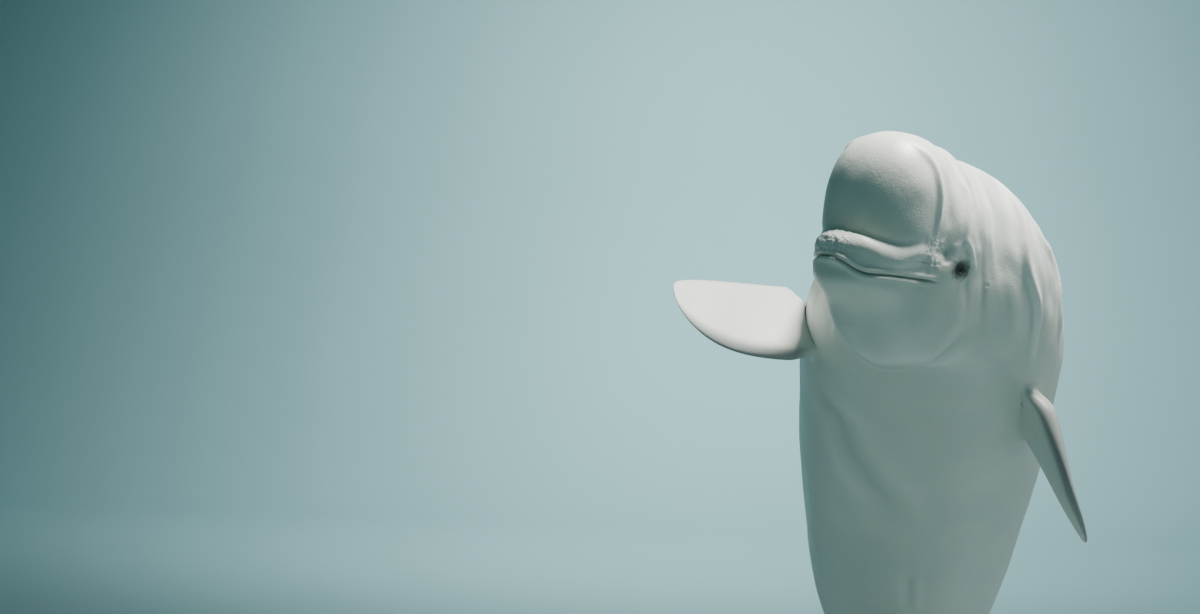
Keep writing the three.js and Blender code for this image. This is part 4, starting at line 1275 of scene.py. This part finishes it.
def connect(tree, shader, colour, roughness, height, distance=0.001):
    """Links a colour, a roughness where there is one, and a height in units of distance to the shader."""
    tree.links.new(colour, shader.inputs["Base Color"])
    if roughness is not None:
        tree.links.new(roughness, shader.inputs["Roughness"])
    bumps = add(tree, "Bump", {"Height": height, "Distance": distance, "Strength": 1.0})
    tree.links.new(bumps.outputs["Normal"], shader.inputs["Normal"])


MOTTLING, GRAIN, SCRATCHES = make_mottling(), make_grain(), make_scratches()

# Colours of the skin
IVORY, PEARL, WARM = (0.76, 0.775, 0.715), (0.63, 0.68, 0.66), (0.76, 0.72, 0.60)
# The fold grey is painted shade, the worn white is worn skin and also painted highlight, the rim grey is dark
# edge skin and partly painted shade, and the eye and mouth colours are painted shade
FOLD_SHADE, WORN_WHITE_AND_HIGHLIGHT, RIM_GREY_AND_SHADE = (0.36, 0.42, 0.40), (0.93, 0.93, 0.88), (0.20, 0.22, 0.22)
EYE_HOLLOW_SHADE, MOUTH_SHADE = (0.045, 0.050, 0.050), (0.16, 0.15, 0.135)

# Colours of the eye, the stand and the floor
PUPIL, IRIS_DARK, IRIS_BROWN = (0.004, 0.004, 0.005), (0.020, 0.010, 0.006), (0.075, 0.038, 0.020)
EYE_WHITE, EYE_WHITE_VEINS = (0.16, 0.13, 0.11), (0.24, 0.20, 0.17)
CHARCOAL, DUST = (0.052, 0.056, 0.062), (0.085, 0.088, 0.092)
SCRATCH, PRIMER = (0.16, 0.16, 0.16), (0.22, 0.21, 0.20)
ROD_TONE, FOOT_TONE = (0.52, 0.53, 0.54), (0.50, 0.51, 0.52)
FLOOR_PALE = (0.40, 0.54, 0.56)


def make_skin_material():
    """Beluga skin: ivory with pearl-grey clouds and a warm cast, dark at the rims of the fins, whiter where
    the lip is worn, with old scratches and a fine grain. Painted shade lies in its creases, in the mouth
    line, round the eyes and, in part, along the flippers' leading edges; painted highlight lies on the ridges
    of its folds, and bands of painted highlight and shade run across the neck."""
    material, tree, shader, where = new_material(
        "beluga_skin", Subsurface_Weight=0.08, Subsurface_Scale=0.02, Subsurface_Radius=(1.0, 0.7, 0.5),
        Coat_Weight=0.12, Coat_Roughness=0.35,
    )
    clouds = grouped(tree, MOTTLING, where, Scale=3.2, Softness=0.22)
    patches = grouped(tree, MOTTLING, where, Scale=11.0, Softness=0.16)
    flecks = grouped(tree, MOTTLING, where, Scale=85.0, Softness=0.10)
    lines = grouped(tree, SCRATCHES, where, Scale=26.0, Width=0.006, Amount=0.16)
    pits = between(tree, noise(tree, where, 170.0, 3.0), 0.40, 0.60)
    worn = from_attribute(tree, "rough")
    colour = layered(tree, IVORY, [
        (clouds, 0.80, PEARL),
        (patches, 0.30, WARM),
        (flecks, 0.16, PEARL),
        (lines, 0.45, WORN_WHITE_AND_HIGHLIGHT),
        # Painted highlight and painted shade in bands across the neck
        ("streak_highlight", 0.75, WORN_WHITE_AND_HIGHLIGHT),
        ("streak_shade", 0.55, FOLD_SHADE),
        # Painted shade in the grooves of the folds and round the flippers' roots
        ("crease_shade", 0.50, FOLD_SHADE),
        # Painted highlight on the ridges of the folds; the same white also serves for worn skin and scratches
        ("ridge", 0.75, WORN_WHITE_AND_HIGHLIGHT),
        (worn, 1.0, mixed(tree, pits, IVORY, WORN_WHITE_AND_HIGHLIGHT)),
        # Dark rims of the fins; along the flippers' leading edges partly painted shade
        ("rim", 0.85, RIM_GREY_AND_SHADE),
        # Painted shade in the mouth line
        ("mouth", 0.50, MOUTH_SHADE),
        # Painted shade in the hollows round the eyes
        ("eye_hollow_shade", 1.0, EYE_HOLLOW_SHADE),
    ])
    roughness = plus(tree, plus(tree, 0.40, times(tree, flecks, 0.10)), times(tree, worn, 0.25))
    fine = grouped(tree, GRAIN, where, Scale=260.0, Height=0.55)
    height = plus(tree, fine, grouped(tree, GRAIN, where, Scale=60.0, Height=0.35))
    height = plus(tree, height, times(tree, times(tree, pits, worn), 1.6))
    connect(tree, shader, colour, roughness, minus(tree, height, times(tree, lines, 0.25)))
    return material


def make_eye_material():
    """Eye: a black pupil, a dark brown iris with rays, and a grey-brown white of the eye, all under a wet
    cornea."""
    material, tree, shader, where = new_material(
        "eye_wet", Roughness=0.08, Coat_Weight=1.0, Coat_Roughness=0.03,
    )
    ring = from_attribute(tree, "ring")
    iris = mixed(tree, between(tree, noise(tree, where, 700.0, 3.0), 0.35, 0.65), IRIS_DARK, IRIS_BROWN)
    veins = grouped(tree, MOTTLING, where, Scale=260.0, Softness=0.12)
    colour = layered(tree, PUPIL, [
        (between(tree, ring, 0.085, 0.11), 1.0, iris),
        (between(tree, ring, 0.20, 0.23), 1.0, mixed(tree, veins, EYE_WHITE, EYE_WHITE_VEINS)),
    ])
    connect(tree, shader, colour, None, grouped(tree, GRAIN, where, Scale=500.0, Height=0.05))
    return material


def make_board_material():
    """Painted board: charcoal satin with the roller's fine orange peel, dust in clouds and rubbed edges."""
    material, tree, shader, where = new_material("board_paint")
    dust = grouped(tree, MOTTLING, where, Scale=4.0, Softness=0.20)
    marks = grouped(tree, SCRATCHES, where, Scale=40.0, Width=0.005, Amount=0.10)
    chips = between(tree, noise(tree, where, 60.0, 4.0), 0.50, 0.62)
    rubbed = times(tree, from_attribute(tree, "edge"), chips)
    colour = layered(tree, CHARCOAL, [(dust, 0.5, DUST), (marks, 0.5, SCRATCH), (rubbed, 0.7, PRIMER)])
    roughness = plus(tree, 0.42, times(tree, dust, 0.22))
    connect(tree, shader, colour, roughness, grouped(tree, GRAIN, where, Scale=420.0, Height=0.12))
    return material


def make_steel_material(name, scales, tone):
    """Brushed steel: fine lines along the drawing of the metal in its roughness and height, and faint
    clouds."""
    material, tree, shader, where = new_material(name, Metallic=1.0, Anisotropic=0.3)
    lines = noise(tree, drawn_out(tree, where, scales), 1.0, 3.0, 0.6)
    haze = grouped(tree, MOTTLING, where, Scale=9.0, Softness=0.2)
    colour = mixed(tree, haze, tone, tuple(0.86 * c for c in tone))
    roughness = plus(tree, plus(tree, times(tree, lines, 0.22), times(tree, haze, 0.10)), 0.20)
    connect(tree, shader, colour, roughness, times(tree, lines, 0.06))
    return material


def make_floor_material():
    """Plain pale floor paint with faint clouds and a fine grain."""
    material, tree, shader, where = new_material("floor_paint")
    clouds = grouped(tree, MOTTLING, where, Scale=0.35, Softness=0.3)
    colour = mixed(tree, clouds, FLOOR_PALE, tuple(0.96 * c for c in FLOOR_PALE))
    roughness = plus(tree, 0.70, times(tree, clouds, 0.05))
    connect(tree, shader, colour, roughness, grouped(tree, GRAIN, where, Scale=150.0, Height=0.1))
    return material


# Camera at the photograph's viewing angle
CAMERA_AT = SNOUT + np.array([0.1824, -3.1683, -0.1116])
CAMERA_TURN = 12.8
camera_data = bpy.data.cameras.new("camera")
camera_data.sensor_width = 36
camera_data.lens = 42
camera = bpy.data.objects.new("camera", camera_data)
camera.location = CAMERA_AT
camera.rotation_euler = (math.radians(90), 0, math.radians(CAMERA_TURN))
bpy.context.scene.collection.objects.link(camera)
bpy.context.scene.camera = camera

skin = make_skin(make_skin_material())
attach(skin, "root")
flesh = ["head", "melon", "lower_jaw", "neck", "trunk_front", "trunk_rear", "dorsal_ridge", "tail_stock"]
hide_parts(*flesh, "fluke_left", "fluke_right", "flipper_left", "flipper_right")

eye_wet = make_eye_material()
for side, node in ((1, "eye_left"), (-1, "eye_right")):
    eyeball = make_eyeball(side, eye_wet)
    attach(eyeball, "root")
    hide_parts(node)

board = make_board(make_board_material())
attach(board, "root")
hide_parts("stand_base")

rod_steel = make_steel_material("rod_steel", (420.0, 420.0, 6.0), ROD_TONE)
foot_steel = make_steel_material("foot_steel", (12.0, 420.0, 420.0), FOOT_TONE)
for name, rod in RODS.items():
    upright, foot = make_rod(name, rod, rod_steel), make_foot(name, rod, foot_steel)
    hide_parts(f"stand_rod_{name}")
    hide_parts(f"stand_foot_{name}")
    for piece in [upright, foot, *make_screws(name, rod, rod_steel)]:
        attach(piece, "root")


def make_floor(material):
    """Floor that rises in a quarter circle to a wall behind the model."""
    front, back, half_width, top, radius = -14.0, 9.0, 22.0, 14.0, 4.0
    turn = np.linspace(0, math.pi / 2, 24)
    y = np.concatenate([[front], back + radius * np.sin(turn), [back + radius]])
    z = np.concatenate([[0.0], radius * (1 - np.cos(turn)), [top]])
    points = np.array([(x, b, c) for b, c in zip(y, z) for x in (-half_width, half_width)])
    mesh = bpy.data.meshes.new("floor")
    faces = [(2 * i, 2 * i + 1, 2 * i + 3, 2 * i + 2) for i in range(len(y) - 1)]
    mesh.from_pydata(points.tolist(), [], faces)
    mesh.polygons.foreach_set("use_smooth", np.ones(len(faces), bool))
    mesh.materials.append(material)
    floor = bpy.data.objects.new("floor", mesh)
    bpy.context.scene.collection.objects.link(floor)


make_floor(make_floor_material())


def soft_light(name, at, towards, size, watts, colour, spread=math.pi):
    """Round soft lamp of a size, a power and a colour that looks towards a point."""
    data = bpy.data.lights.new(name, "AREA")
    data.shape = "DISK"
    data.size = size
    data.energy = watts
    data.color = colour
    data.spread = spread
    light = bpy.data.objects.new(name, data)
    light.location = at
    light.rotation_euler = (Vector(towards) - Vector(at)).to_track_quat("-Z", "Y").to_euler()
    bpy.context.scene.collection.objects.link(light)


soft_light("key", (0.88, -1.25, 4.7), (0.0, -1.2, 2.2), 0.8, 245, (1.0, 0.985, 0.93))
soft_light("side", (3.4, 0.2, 4.2), (0.0, -1.1, 1.9), 1.2, 62, (0.95, 1.0, 0.97))
soft_light("backdrop", (-2.0, 3.5, 7.0), (-2.0, 12.0, 2.5), 5.0, 720, (0.74, 1.0, 1.0), 2.0)
world = bpy.data.worlds.new("studio")
bpy.context.scene.world = world
world.use_nodes = True
background = world.node_tree.nodes["Background"]
background.inputs["Color"].default_value = (0.28, 0.74, 0.76, 1)
background.inputs["Strength"].default_value = 0.18
